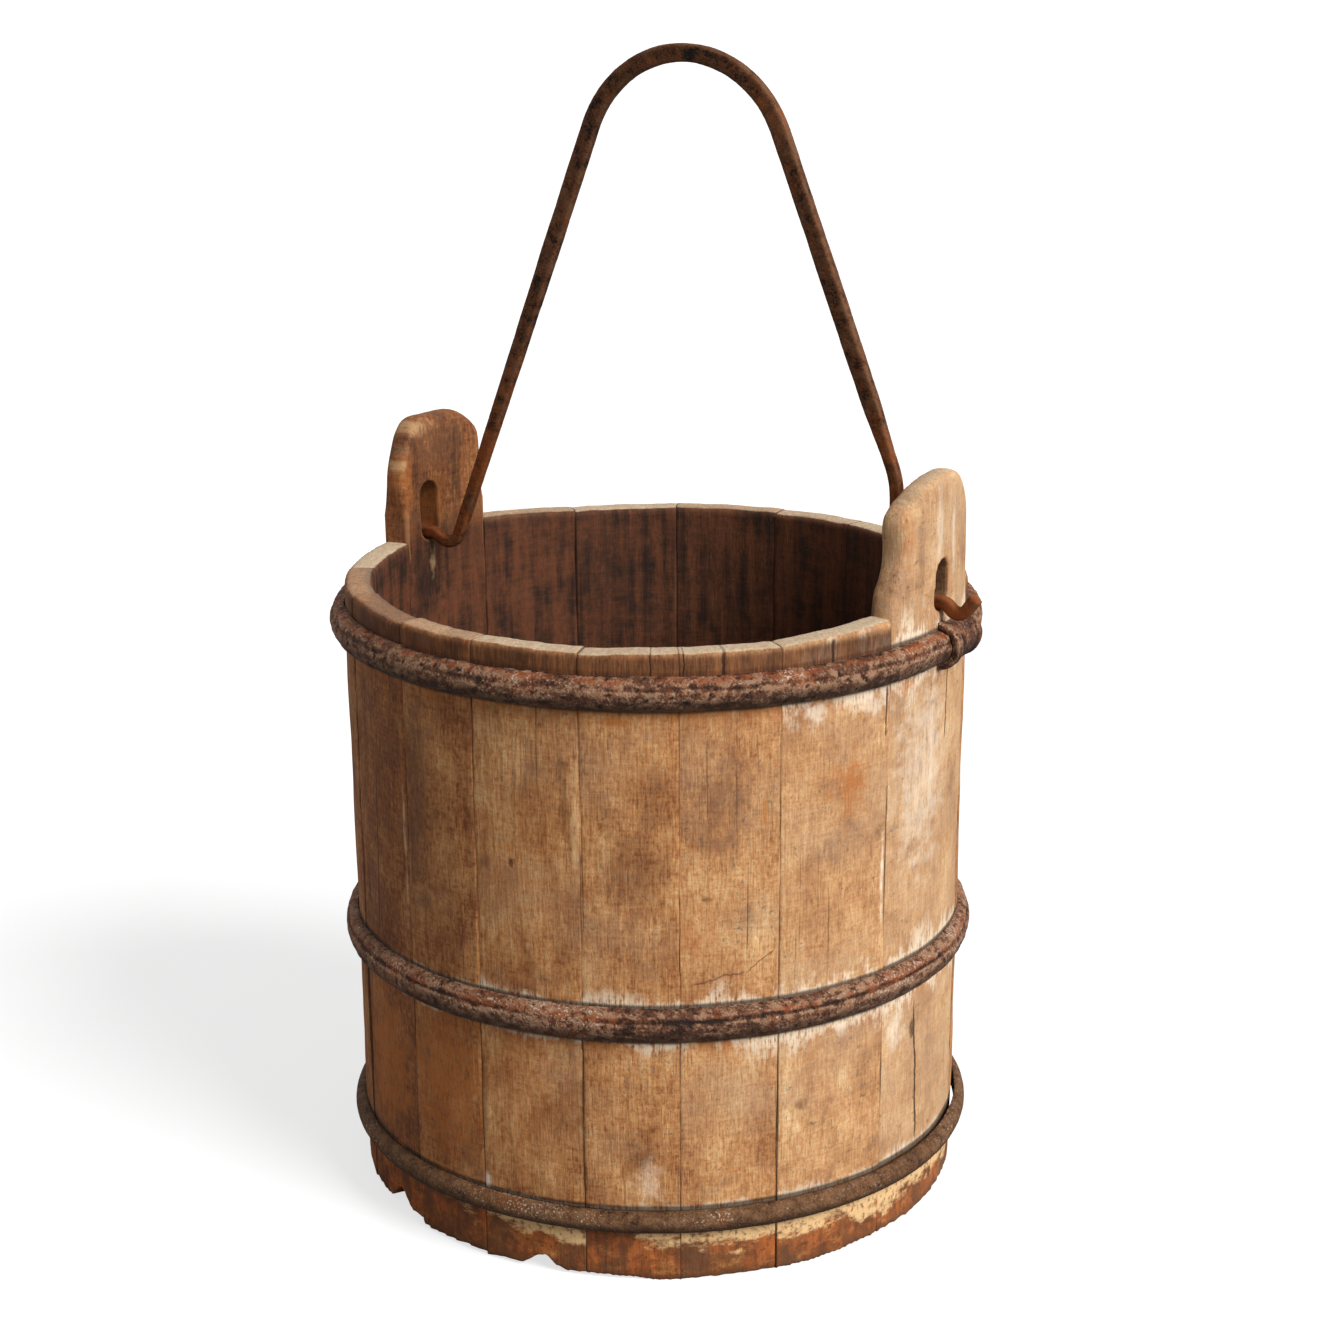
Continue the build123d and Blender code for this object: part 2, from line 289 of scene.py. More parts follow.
    def split(self, vector: Feed) -> tuple[Socket, ...]:
        """Take a vector apart."""
        return tuple(self.put("ShaderNodeSeparateXYZ", Vector=vector).outputs)

    def join(self, x: Feed, y: Feed, z: Feed) -> Socket:
        """Put a vector together."""
        return self.put("ShaderNodeCombineXYZ", X=x, Y=y, Z=z).outputs[0]

    def outward(self, place: Feed) -> Socket:
        """Level direction from the tub's axis to a place."""
        return self.vector("NORMALIZE", self.vector("MULTIPLY", place, (1, 1, 0)))

    def facing(self, normal: Feed, place: Feed) -> Socket:
        """How squarely a surface faces the tub's axis or turns its back to it."""
        return self.math("ABSOLUTE", self.vector("DOT_PRODUCT", normal, self.outward(place)))

    def fade(self, value: Feed, start: Feed, end: Feed, top: Feed = 1.0) -> Socket:
        """Rise smoothly from 0 where the value is at start to top where it is at end.

        Args:
            value: The value.
            start: Value where the rise starts.
            end: Value where the rise ends, which may lie below start.
            top: What it rises to.

        Returns:
            A number between 0 and top.
        """
        node = self.put("ShaderNodeMapRange", {"interpolation_type": "SMOOTHSTEP"}, Value=value,
                        From_Min=start, From_Max=end, To_Min=0.0, To_Max=top)
        return node.outputs[0]

    def band(self, value: Feed, low: float, high: float, soft: float) -> Socket:
        """Be 1 between two values, with soft edges outside them."""
        return self.product(self.fade(value, low - soft, low), self.fade(value, high + soft, high))

    def lerp(self, share: Feed, first: Feed, second: Feed) -> Socket:
        """Go from a first number to a second one."""
        return self.put("ShaderNodeMix", {"data_type": "FLOAT"}, Factor=share, A=first, B=second).outputs[0]

    def mix(self, share: Feed, first: Feed, second: Feed) -> Socket:
        """Go from a first colour to a second one.

        Args:
            share: Share of the second colour.
            first: First colour.
            second: Second colour.

        Returns:
            The mixed colour.
        """
        node = self.put("ShaderNodeMix", {"data_type": "RGBA"})
        for place, value in zip(self.MIX_INPUTS, (share, first, second)):
            self.feed(node.inputs[place], value)
        return node.outputs[self.MIX_RESULT]

    def coat(self, colour: Feed, *layers: tuple[Feed, Feed]) -> Feed:
        """Lay colours over a first one in their order, each as a share and a colour.

        Args:
            colour: Colour underneath.
            layers: Share and colour of each coat, from the lowest up.

        Returns:
            The colour that shows.
        """
        for share, layer in layers:
            colour = self.mix(share, colour, layer)
        return colour

    def ramp(self, value: Feed, *stops: tuple[float, Colour]) -> Socket:
        """Colour a value by a row of stops, each a place between 0 and 1 and a colour.

        Args:
            value: The value.
            stops: Place and colour of each stop, in rising order.

        Returns:
            The colour.
        """
        node = self.put("ShaderNodeValToRGB", Fac=value)
        elements = node.color_ramp.elements
        while len(elements) < len(stops):
            elements.new(1.0)
        for element, (place, colour) in zip(elements, stops):
            element.position = place
            element.color = colour
        return node.outputs[0]

    def noise(self, place: Feed, scale: float | tuple[float, float, float], detail: float = 3.0,
              rough: float = 0.55) -> Socket:
        """Smooth noise between 0 and 1.

        Args:
            place: Where it is read.
            scale: How fine it is, as one number or along each axis.
            detail: Number of finer layers.
            rough: How strong the finer layers are.

        Returns:
            The noise.
        """
        if isinstance(scale, tuple):
            place, scale = self.vector("MULTIPLY", place, scale), 1.0
        node = self.put("ShaderNodeTexNoise", Vector=place, Scale=scale, Detail=detail, Roughness=rough)
        return node.outputs[0]


# Modelling by operators

def activate(piece: Piece) -> None:
    """Leave edit mode and select one piece alone.

    Args:
        piece: The piece.
    """
    if bpy.context.object and bpy.context.object.mode != "OBJECT":
        bpy.ops.object.mode_set(mode="OBJECT")
    bpy.ops.object.select_all(action="DESELECT")
    piece.select_set(True)
    bpy.context.view_layer.objects.active = piece


def clear_selection() -> None:
    """Deselect everything before a new primitive is added."""
    bpy.ops.object.select_all(action="DESELECT")


@contextmanager
def editing(piece: Piece, everything: bool = True) -> Iterator[None]:
    """Work on a piece in edit mode.

    Args:
        piece: The piece.
        everything: Whether all of it is selected first.

    Yields:
        Nothing, while the piece is in edit mode.
    """
    activate(piece)
    bpy.ops.object.mode_set(mode="EDIT")
    if everything:
        bpy.ops.mesh.select_all(action="SELECT")
    yield
    bpy.ops.object.mode_set(mode="OBJECT")


def pick(piece: Piece, test: Callable[[Vector], bool], faces: bool = False) -> None:
    """Select the vertices or faces of a piece whose place passes a test.

    Args:
        piece: The piece, in object mode.
        test: Takes a place and says whether it is picked.
        faces: Whether faces are picked by their middles, and not vertices.
    """
    with editing(piece, everything=False):
        bpy.ops.mesh.select_mode(type="FACE" if faces else "VERT")
        bpy.ops.mesh.select_all(action="DESELECT")
    mesh = piece.data
    for element in (mesh.polygons if faces else mesh.vertices):
        element.select = test(element.center if faces else element.co)


def apply_place(piece: Piece) -> None:
    """Move a piece's place, turn and scale into its mesh."""
    activate(piece)
    bpy.ops.object.transform_apply(location=True, rotation=True, scale=True)


def modify(piece: Piece, kind: str, inputs: dict | None = None, **settings: object) -> None:
    """Add a modifier to a piece and apply it.

    Args:
        piece: The piece.
        kind: Blender's name of the modifier type.
        inputs: Inputs of its node group by their names.
        settings: Properties of the modifier.
    """
    activate(piece)
    modifier = piece.modifiers.new(kind.lower(), kind)
    for key, value in settings.items():
        setattr(modifier, key, value)
    if inputs:
        for item in modifier.node_group.interface.items_tree:
            if item.name in inputs:
                modifier[item.identifier] = inputs[item.name]
    bpy.ops.object.modifier_apply(modifier=modifier.name)


def carve(piece: Piece, tool: Piece, operation: str) -> None:
    """Cut a piece with another one, which is used up."""
    modify(piece, "BOOLEAN", object=tool, operation=operation)
    bpy.data.objects.remove(tool)


def merge(piece: Piece) -> None:
    """Merge the doubles of a mesh."""
    with editing(piece):
        bpy.ops.mesh.remove_doubles(threshold=0.01 * MM)


def clean(piece: Piece) -> None:
    """Merge the doubles of a mesh and turn its faces outwards.

    Args:
        piece: The piece.
    """
    merge(piece)
    with editing(piece):
        bpy.ops.mesh.normals_make_consistent(inside=False)


def copy_node(node: str) -> Piece:
    """Copy a solid's mesh into a new piece, with its loose triangles merged.

    Args:
        node: Name of the solid.

    Returns:
        The new piece.
    """
    piece = bpy.data.objects.new(f"{node}_look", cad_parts[node].data.copy())
    bpy.context.scene.collection.objects.link(piece)
    piece.data.materials.clear()
    merge(piece)
    return piece


def remake(piece: Piece, voxel: float, smoothing: int) -> None:
    """Give a piece an even mesh with worn edges."""
    modify(piece, "REMESH", mode="VOXEL", voxel_size=voxel)
    modify(piece, "SMOOTH", factor=0.5, iterations=smoothing)


def corners(node: str) -> np.ndarray:
    """Read the places of a solid's vertices, one row each."""
    return np.array([corner.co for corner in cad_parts[node].data.vertices])


def settle(piece: Piece, node: str, body: Body, material: Material) -> None:
    """Dress a finished piece, put it on its body and let it stand for its solid.

    Args:
        piece: The finished piece.
        node: Name of the solid that it stands for.
        body: Body that it moves with.
        material: Its finish.
    """
    modify(piece, "NODES", node_group=bpy.data.node_groups["relief"])
    activate(piece)
    bpy.ops.object.shade_smooth()
    piece.name = f"{node}_look"
    piece.data.materials.clear()
    piece.data.materials.append(material)
    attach(piece, body.value)
    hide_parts(node)
    log.info("%s: %d faces", piece.name, len(piece.data.polygons))


# Sizes of the tub, with the heights read from its solids

RIM_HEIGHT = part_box("front_stave_1")[1].z
WALL = 14 * MM
RIM_RADIUS = 154 * MM
FOOT_RADIUS = 152 * MM
TAPER = (RIM_RADIUS - FOOT_RADIUS) / RIM_HEIGHT
MIDDLE_RADIUS = (RIM_RADIUS + FOOT_RADIUS) / 2
BOARD_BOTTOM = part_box("bottom_board_2")[0].z
BOARD_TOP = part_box("bottom_board_2")[1].z
GROOVE_DEPTH = 5 * MM
OVERLAP = 0.7 * MM
STAVE_VOXEL = 1.4 * MM
IRON_VOXEL = 0.8 * MM


@dataclass(frozen=True)
class HoopPlace:
    """Heights between which a hoop lies, read from its solid."""

    low: float
    high: float

    @classmethod
    def of(cls, node: str) -> "HoopPlace":
        """Read the place of a hoop's solid."""
        low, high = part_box(node)
        return cls(low.z, high.z)


HOOPS = {node: HoopPlace.of(node) for node in ("top_hoop", "middle_hoop", "bottom_hoop")}


# Shared geometry effects

def make_relief() -> None:
    """Store on each point how far it stands out from its surroundings, in millimetres."""
    graph = Graph.group("relief", Tree.GEOMETRY, {"Geometry": "geometry"}, {"Geometry": "geometry"})
    place, normal = graph.surface()
    blurred = graph.put("GeometryNodeBlurAttribute", {"data_type": "FLOAT_VECTOR"}, Value=place,
                        Iterations=7)
    soft = next(socket for socket in blurred.outputs if socket.enabled)
    height = graph.vector("DOT_PRODUCT", normal, graph.vector("SUBTRACT", place, soft))
    stored = graph.put("GeometryNodeStoreNamedAttribute", {"data_type": "FLOAT", "domain": "POINT"},
                       Geometry=graph.given["Geometry"], Name="relief", Value=graph.product(height, 1 / MM))
    graph.give(Geometry=stored.outputs[0])


@dataclass(frozen=True)
class StaveWear:
    """How deep the years have worn a stave: an uneven face, a broken foot and a worn rim."""

    wave: float = 2.4 * MM
    strips: float = 0.55 * MM
    dents: float = 0.5 * MM
    foot_ragged: float = 4.5 * MM
    foot_splinters: float = 0.25 * MM
    foot_spared: float = 2.4 * MM
    foot_reach: float = 26 * MM
    rim_uneven: float = 2.2 * MM
    rim_reach: float = 14 * MM

    def make(self) -> None:
        """Build the geometry group that warps a stave."""
        graph = Graph.group("stave wear", Tree.GEOMETRY, {"Geometry": "geometry"} | values(
            "Turn", "Half Width", "Seed", "Foot Start", "Foot End", "Notch Place", "Notch Depth",
            "Notch Width", "Rim Start", "Rim End", "Bow", "Top"), {"Geometry": "geometry"})
        given = graph.given
        place, normal = graph.surface()
        turned = graph.put("ShaderNodeVectorRotate", {"rotation_type": "Z_AXIS"}, Vector=place,
                           Angle=graph.product(given["Turn"], -1.0)).outputs[0]
        out_x, out_y, height = graph.split(turned)
        across = graph.product(graph.math("ARCTAN2", out_y, out_x), MIDDLE_RADIUS)
        share = graph.math("MULTIPLY_ADD", graph.math("DIVIDE", across, given["Half Width"]), 0.5, 0.5)
        outward = graph.outward(place)
        facing = graph.fade(graph.facing(normal, place), 0.25, 0.75)
        seeded = graph.vector("ADD", graph.join(across, 0.0, height),
                              graph.join(given["Seed"], given["Seed"], 0.0))

        wave = graph.minus(graph.noise(seeded, 16.0, 2.0), 0.5)
        strips = graph.minus(graph.noise(seeded, (190, 190, 7), 3.0), 0.5)
        dents = graph.fade(graph.noise(seeded, 70.0, 3.0), 0.62, 0.8)
        bulge = graph.total(given["Bow"], graph.product(wave, self.wave),
                            graph.product(strips, self.strips), graph.product(dents, -self.dents))

        notch = graph.math("DIVIDE", graph.minus(across, given["Notch Place"]), given["Notch Width"])
        notch = graph.math("EXPONENT", graph.product(notch, notch, -1.0))
        notch = graph.product(given["Notch Depth"], notch)
        ragged = graph.noise(seeded, (30, 30, 0), 4.0, 0.55)
        cells = graph.math("FLOOR", graph.product(graph.total(across, given["Seed"]), 300.0))
        splinters = graph.put("ShaderNodeTexWhiteNoise", {"noise_dimensions": "1D"}, W=cells).outputs[0]
        lift = graph.total(graph.lerp(share, given["Foot Start"], given["Foot End"]), notch,
                           graph.product(ragged, self.foot_ragged),
                           graph.product(splinters, self.foot_splinters))
        lift = graph.math("MAXIMUM", graph.minus(lift, self.foot_spared), 0.0)
        raised = graph.product(lift, graph.fade(height, self.foot_reach, 1 * MM))

        uneven = graph.product(graph.noise(seeded, (55, 55, 0), 4.0, 0.6), self.rim_uneven)
        drop = graph.total(graph.lerp(share, given["Rim Start"], given["Rim End"]), uneven)
        near_top = graph.fade(height, graph.minus(given["Top"], self.rim_reach), given["Top"])
        rise = graph.minus(raised, graph.product(drop, near_top))
        shift = graph.vector("ADD", graph.stretch(outward, graph.product(bulge, facing)),
                             graph.join(0.0, 0.0, rise))
        moved = graph.put("GeometryNodeSetPosition", Geometry=given["Geometry"], Offset=shift)
        graph.give(Geometry=moved.outputs[0])


def make_forging() -> None:
    """Roughen a surface along its normals: broad bumps, flakes, pits and a level slit that wanders."""
    graph = Graph.group("forging", Tree.GEOMETRY, {"Geometry": "geometry", "Stretch": "vector"} | values(
        "Seed", "Broad", "Flakes", "Pits", "Slit Height", "Slit Depth"), {"Geometry": "geometry"})
    given = graph.given
    place, normal = graph.surface()
    seeded = graph.vector("ADD", place, graph.join(given["Seed"], 0.0, given["Seed"]))
    stretched = graph.vector("MULTIPLY", seeded, given["Stretch"])
    broad = graph.minus(graph.noise(stretched, 34.0, 2.0), 0.5)
    flakes = graph.minus(graph.noise(stretched, 190.0, 4.0, 0.6), 0.5)
    pits = graph.fade(graph.noise(seeded, 260.0, 2.0), 0.6, 0.75)
    height = graph.split(place)[2]
    wander = graph.product(graph.minus(graph.noise(seeded, 60.0, 3.0), 0.5), 3.5 * MM)
    from_slit = graph.math("ABSOLUTE", graph.minus(graph.total(height, wander), given["Slit Height"]))
    slit = graph.product(graph.fade(from_slit, 1.5 * MM, 0.2 * MM), given["Slit Depth"],
                         graph.fade(graph.noise(seeded, 9.0, 3.0), 0.38, 0.55))
    rise = graph.total(graph.product(broad, given["Broad"]), graph.product(flakes, given["Flakes"]),
                       graph.product(pits, given["Pits"], -1.0), graph.product(slit, -1.0))
    moved = graph.put("GeometryNodeSetPosition", Geometry=given["Geometry"],
                      Offset=graph.stretch(normal, rise))
    graph.give(Geometry=moved.outputs[0])


@dataclass(frozen=True)
class Coarseness:
    """How rough a surface is, in millimetres of relief."""

    broad: float
    flakes: float
    pits: float

    def press(self, piece: Piece, seed: float, stretch: tuple[float, float, float] = (1.0, 1.0, 1.0),
              slit_height: float = 0.0, slit_depth: float = 0.0) -> None:
        """Roughen a piece by the forging effect.

        Args:
            piece: The piece.
            seed: Number that sets its pattern apart.
            stretch: Scale of the pattern along each axis.
            slit_height: Height of the slit, if it has one.
            slit_depth: Depth of the slit in millimetres.
        """
        modify(piece, "NODES", node_group=bpy.data.node_groups["forging"], inputs={
            "Stretch": stretch, "Seed": seed, "Broad": self.broad * MM, "Flakes": self.flakes * MM,
            "Pits": self.pits * MM, "Slit Height": slit_height, "Slit Depth": slit_depth * MM})


# Shared shader effects

def make_grain() -> NodeTree:
    """Grain of old wood: fibres, pores, growth rings, blotches, specks, saw marks, checks and relief.

    Returns:
        The shader group.
    """
    graph = Graph.group("grain", Tree.SHADER, {"Place": "vector", "Seed": "value"},
                        values("Fibre", "Pores", "Rings", "Blotch", "Speck", "Sawn", "Checks", "Relief"))
    seed = graph.given["Seed"]
    place = graph.vector("ADD", graph.given["Place"],
                         graph.join(seed, graph.product(seed, 0.37), graph.product(seed, 0.71)))

    def stretched(across: float, along: float, detail: float, rough: float) -> Socket:
        """Noise with its own scale across and along the grain."""
        return graph.noise(place, (across, across, along), detail, rough)

    fine = stretched(1000, 120, 2.0, 0.55)
    fibre = stretched(420, 17, 4.0, 0.65)
    pores = graph.fade(stretched(1400, 120, 2.0, 0.5), 0.57, 0.74)
    blotch = stretched(36, 24, 6.0, 0.68)
    speck = stretched(420, 340, 4.0, 0.7)
    sawn = stretched(90, 900, 2.0, 0.5)
    checks = graph.math("MAXIMUM", graph.fade(stretched(640, 9, 2.0, 0.5), 0.69, 0.75),
                        graph.fade(stretched(230, 170, 4.0, 0.65), 0.69, 0.76, 0.8))
    sway = stretched(15, 2.4, 2.0, 0.45)
    across = graph.split(graph.given["Place"])[0]
    ring = graph.math("FRACT", graph.weigh((across, 120.0), (sway, 11.0), (seed, 3.1)))
    rings = graph.product(graph.math("POWER", ring, 2.5), graph.fade(ring, 1.0, 0.88))
    relief = graph.weigh((fine, 0.7), (fibre, 0.45), (rings, -0.2), (speck, 0.5), (pores, -0.4),
                         (sawn, 0.15), (checks, -0.8))
    return graph.give(Fibre=graph.weigh((fibre, 0.35), (fine, 0.65)), Pores=pores, Rings=rings,
                      Blotch=blotch, Speck=speck, Sawn=sawn, Checks=checks, Relief=relief)


def make_spot() -> NodeTree:
    """A ragged patch about a place on a stave.

    Returns:
        The shader group.
    """
    graph = Graph.group("spot", Tree.SHADER, values(
        "Across", "Height", "At Across", "At Height", "Wide", "Tall", "Ragged"), values("Mask"))
    given = graph.given
    side = graph.math("DIVIDE", graph.minus(given["Across"], given["At Across"]), given["Wide"])
    rise = graph.math("DIVIDE", graph.minus(given["Height"], given["At Height"]), given["Tall"])
    wild = graph.noise(graph.join(given["Across"], given["At Height"], given["Height"]), 130.0, 5.0, 0.65)
    reach = graph.math("SQRT", graph.total(graph.product(side, side), graph.product(rise, rise)))
    reach = graph.total(reach, graph.product(graph.minus(wild, 0.5), given["Ragged"]))
    strewn = graph.join(given["Across"], given["At Across"], given["Height"])
    crumbs = graph.noise(strewn, (560, 560, 110), 4.0, 0.7)
    return graph.give(Mask=graph.product(graph.fade(reach, 1.0, 0.2), graph.fade(crumbs, 0.26, 0.56)))


def make_crack() -> NodeTree:
    """A drying crack that wanders up a stave from a foot to a head.

    Returns:
        The shader group.
    """
    graph = Graph.group("crack", Tree.SHADER, values(
        "Across", "Height", "Foot Across", "Foot", "Head Across", "Head", "Width", "Wander"), values("Mask"))
    given = graph.given
    rise = graph.math("DIVIDE", graph.minus(given["Height"], given["Foot"]),
                      graph.minus(given["Head"], given["Foot"]))
    line = graph.lerp(rise, given["Foot Across"], given["Head Across"])
    sway = graph.noise(graph.join(given["Foot Across"], 0.0, given["Height"]), 90.0, 4.0)
    line = graph.total(line, graph.product(graph.minus(sway, 0.5), given["Wander"]))
    gap = graph.math("ABSOLUTE", graph.minus(given["Across"], line))
    within = graph.product(graph.fade(rise, -0.01, 0.12), graph.fade(rise, 1.01, 0.85))
    swell = graph.noise(graph.join(0.0, 0.0, given["Height"]), 160.0, 2.0)
    width = graph.product(given["Width"], graph.math("MULTIPLY_ADD", swell, 1.4, 0.3))
    return graph.give(Mask=graph.product(graph.fade(gap, width, graph.product(width, 0.3)), within))


@dataclass(frozen=True)
class WoodFinish:
    """Colours of the old wood."""

    bleached: Colour = tint("e8cfa8")
    pale: Colour = tint("dcb07c")
    mid: Colour = tint("b98250")
    dark: Colour = tint("88522c")
    umber: Colour = tint("502d18")
    smudge: Colour = tint("66483a")
    grey: Colour = tint("a1856c")
    ash: Colour = tint("c8b292")
    worn: Colour = tint("b79d80")
    lip: Colour = tint("d2bea2")
    inside: Colour = tint("663a22")
    inside_dark: Colour = tint("26160d")
    seam: Colour = tint("2a190f")
    rust: Colour = tint("a85f28")
    chalk: Colour = tint("ead9bf")
    foot: Colour = tint("582d17")
    foot_rust: Colour = tint("a65a28")
    foot_gold: Colour = tint("c98f4e")
    foot_pale: Colour = tint("e6c08a")


WOOD = WoodFinish()
MARK_COLOURS = {
    KNOT: tint("5a361d"),
    HOLE: tint("1d120b"),
    GRIME: tint("6b4a35"),
    RUST: tint("ae662c"),
    CHALK: tint("ecdfca"),
    PALE: tint("dcb686"),
}


class StaveWood:
    """Writes the shader group of a stave: its wood, the stains of the hoops, foot, rim and seams, and
    painted shade where the hoops meet the wood.
    """

    CHALK_REACH = 28 * MM
    RUST_REACH = 10 * MM
    FOOT_TOP = 29 * MM
    FOOT_FULL = 24 * MM
    CREAM_FROM = 75 * MM
    CREAM_FULL = 82 * MM
    SEAM_SOFT = 0.45 * MM

    def __init__(self, grain: NodeTree) -> None:
        """Start the group and work out what its stains share.

        Args:
            grain: Shader group of the wood's grain.
        """
        self.graph = graph = Graph.group(
            "stave wood", Tree.SHADER, {"Turned": "vector"} | values(
                "Seed", "Half Width", "Tone", "Figure", "Chalk", "Bleach", "Worn", "Up", "Ear"),
            {"Colour": "colour"} | values("Height", "Rough", "Across", "Inside"))
        self.given = given = graph.given
        out_x, out_y, self.height = graph.split(given["Turned"])
        radius = graph.math("SQRT", graph.total(graph.product(out_x, out_x), graph.product(out_y, out_y)))
        self.across = graph.product(graph.math("ARCTAN2", out_y, out_x), MIDDLE_RADIUS)
        depth = graph.minus(radius, graph.math("MULTIPLY_ADD", self.height, TAPER, FOOT_RADIUS))
        self.inside = graph.product(graph.fade(depth, -9 * MM, -12 * MM),
                                    graph.fade(self.height, RIM_HEIGHT + 22 * MM, RIM_HEIGHT - 8 * MM))
        place = graph.join(self.across, radius, self.height)
        self.shown = graph.use(grain, Place=place, Seed=given["Seed"])
        self.seeded = graph.vector("ADD", graph.join(self.across, depth, self.height),
                                   graph.join(given["Seed"], 0.0, given["Seed"]))
        self.cloud = graph.noise(self.seeded, (13, 13, 21), 6.0, 0.68)
        self.patches = graph.noise(self.seeded, (48, 48, 60), 5.0, 0.7)
        self.streak = graph.noise(self.seeded, (160, 160, 16), 4.0, 0.6)
        self.crust = graph.noise(self.seeded, (60, 60, 120), 6.0, 0.75)
        self.mottled = graph.weigh((self.cloud, 0.45), (self.patches, 0.6), (self.shown["Speck"], 0.45))
        self.crumbs = graph.math("MULTIPLY_ADD", self.shown["Speck"], 0.6, self.shown["Fibre"])

    def build(self) -> NodeTree:
        """Lay one stain over the other, with the painted shade along the hoops, and return the group.

        Returns:
            The shader group.
        """
        graph, shown = self.graph, self.shown
        colour = self._bare_wood()
        for stain in (self._hoop_stains_and_shade, self._foot, self._rim_band, self._inner_face, self._lip):
            colour = stain(colour)
        seam = self._seam()
        colour = graph.mix(graph.product(seam, 0.78), colour, WOOD.seam)
        rough = graph.math("MULTIPLY_ADD", shown["Speck"], 0.3, 0.6)
        relief = graph.weigh((shown["Relief"], 1.0), (seam, -1.0), (self.cloud, 0.3))
        return graph.give(Colour=colour, Height=relief, Rough=rough, Across=self.across, Inside=self.inside)

    def _bare_wood(self) -> Socket:
        """Colour of the wood with its figure, smudges, grey haze, bleaching and specks.

        Returns:
            The colour.
        """
        graph, given, shown = self.graph, self.given, self.shown
        light = graph.weigh((given["Tone"], 1.0), (shown["Fibre"], 0.75), (shown["Blotch"], 1.1),
                            (shown["Sawn"], 0.25), (shown["Speck"], 1.1), base=-1.6)
        colour = graph.ramp(light, (0.0, WOOD.umber), (0.3, WOOD.dark), (0.6, WOOD.mid), (0.88, WOOD.pale),
                            (1.0, WOOD.bleached))
        haze = graph.noise(self.seeded, (10, 10, 17), 5.0, 0.65)
        hazy = graph.product(graph.fade(haze, 0.46, 0.7, 0.36), graph.fade(given["Tone"], 0.4, 0.62))
        bleached = graph.math("MULTIPLY_ADD", graph.fade(self.mottled, 0.88, 0.66), 0.6, 0.4)
        return graph.coat(
            colour,
            (graph.product(shown["Rings"], given["Figure"], 0.5), WOOD.umber),
            (graph.product(shown["Pores"], 0.32), WOOD.umber),
            (graph.fade(self.mottled, 0.76, 0.92, 0.62), WOOD.smudge),
            (hazy, WOOD.grey),
            (graph.product(given["Bleach"], bleached), WOOD.ash),
            (graph.fade(shown["Speck"], 0.55, 0.7, 0.5), WOOD.umber),
            (graph.product(shown["Checks"], 0.6), WOOD.umber))

    def _hoop_stains_and_shade(self, colour: Socket) -> Socket:
        """Rust runs, chalk, and a dark line where each hoop meets the wood, partly grime and partly painted
        shade.

        Args:
            colour: Colour so far.

        Returns:
            Colour with the stains and the painted shade.
        """
        graph, given = self.graph, self.given
        for node, hoop in HOOPS.items():
            above = graph.minus(self.height, hoop.high)
            below = graph.minus(hoop.low, self.height)
            rust = graph.product(graph.band(below, -4 * MM, 1 * MM, self.RUST_REACH),
                                 graph.fade(self.streak, 0.38, 0.7, 0.6))
            colour = graph.mix(rust, colour, WOOD.rust)
            share = 0.3 if node == "bottom_hoop" else 1.0
            chalky_only = graph.fade(given["Chalk"], 0.75, 0.92) if node == "top_hoop" else 1.0
            for side, distance in enumerate((above, below)):
                shifted = graph.vector("ADD", self.seeded, (0.0, hoop.high * 7 + side, 0.0))
                fray = graph.noise(shifted, (42, 1, 22), 6.0, 0.66)
                reach = graph.product(graph.fade(fray, 0.38, 0.68), given["Chalk"], chalky_only,
                                      self.CHALK_REACH * share)
                chalk = graph.product(graph.fade(distance, graph.total(reach, 0.3 * MM), 0.0),
                                      graph.fade(distance, -1 * MM, 0.0))
                chalk = graph.product(chalk, graph.fade(self.crumbs, 0.62, 0.86, 0.88))
                colour = graph.mix(chalk, colour, WOOD.chalk)
            # Dark line in the crease where the hoop meets the wood: partly grime, partly painted shade.
            grime = graph.math("MAXIMUM", graph.band(above, -9 * MM, 0.8 * MM, 1.8 * MM),
                               graph.band(below, -9 * MM, 0.3 * MM, 1.8 * MM))
            colour = graph.mix(graph.product(grime, 0.85), colour, WOOD.seam)
        return colour

    def _foot(self, colour: Socket) -> Socket:
        """Rust-red foot with gold crusts, cream patches that were spared and a sodden edge.

        Args:
            colour: Colour so far.

        Returns:
            Colour with the foot.
        """
        graph, shown = self.graph, self.shown
        rusty = graph.fade(graph.weigh((self.patches, 0.6), (self.streak, 0.4)), 0.4, 0.6)
        patch = graph.noise(self.seeded, (24, 24, 40), 4.0, 0.6)
        spared = graph.weigh((patch, 60 * MM), (self.crust, 34 * MM), (self.height, 1.0),
                             (self.given["Chalk"], 16 * MM))
        sodden = graph.fade(graph.math("MULTIPLY_ADD", self.crust, 16 * MM, self.height), 17 * MM, 8 * MM)
        foot = graph.coat(
            WOOD.foot,
            (rusty, WOOD.foot_rust),
            (graph.fade(self.crust, 0.5, 0.68, 0.6), WOOD.foot_gold),
            (graph.fade(shown["Blotch"], 0.48, 0.6, 0.75), WOOD.umber),
            (graph.fade(spared, self.CREAM_FROM, self.CREAM_FULL, 0.88), WOOD.foot_pale),
            (graph.fade(shown["Speck"], 0.5, 0.66, 0.75), WOOD.foot),
            (graph.product(sodden, 0.75), WOOD.umber))
        share = graph.product(graph.fade(self.height, self.FOOT_TOP, self.FOOT_FULL), 0.92)
        return graph.mix(share, colour, foot)

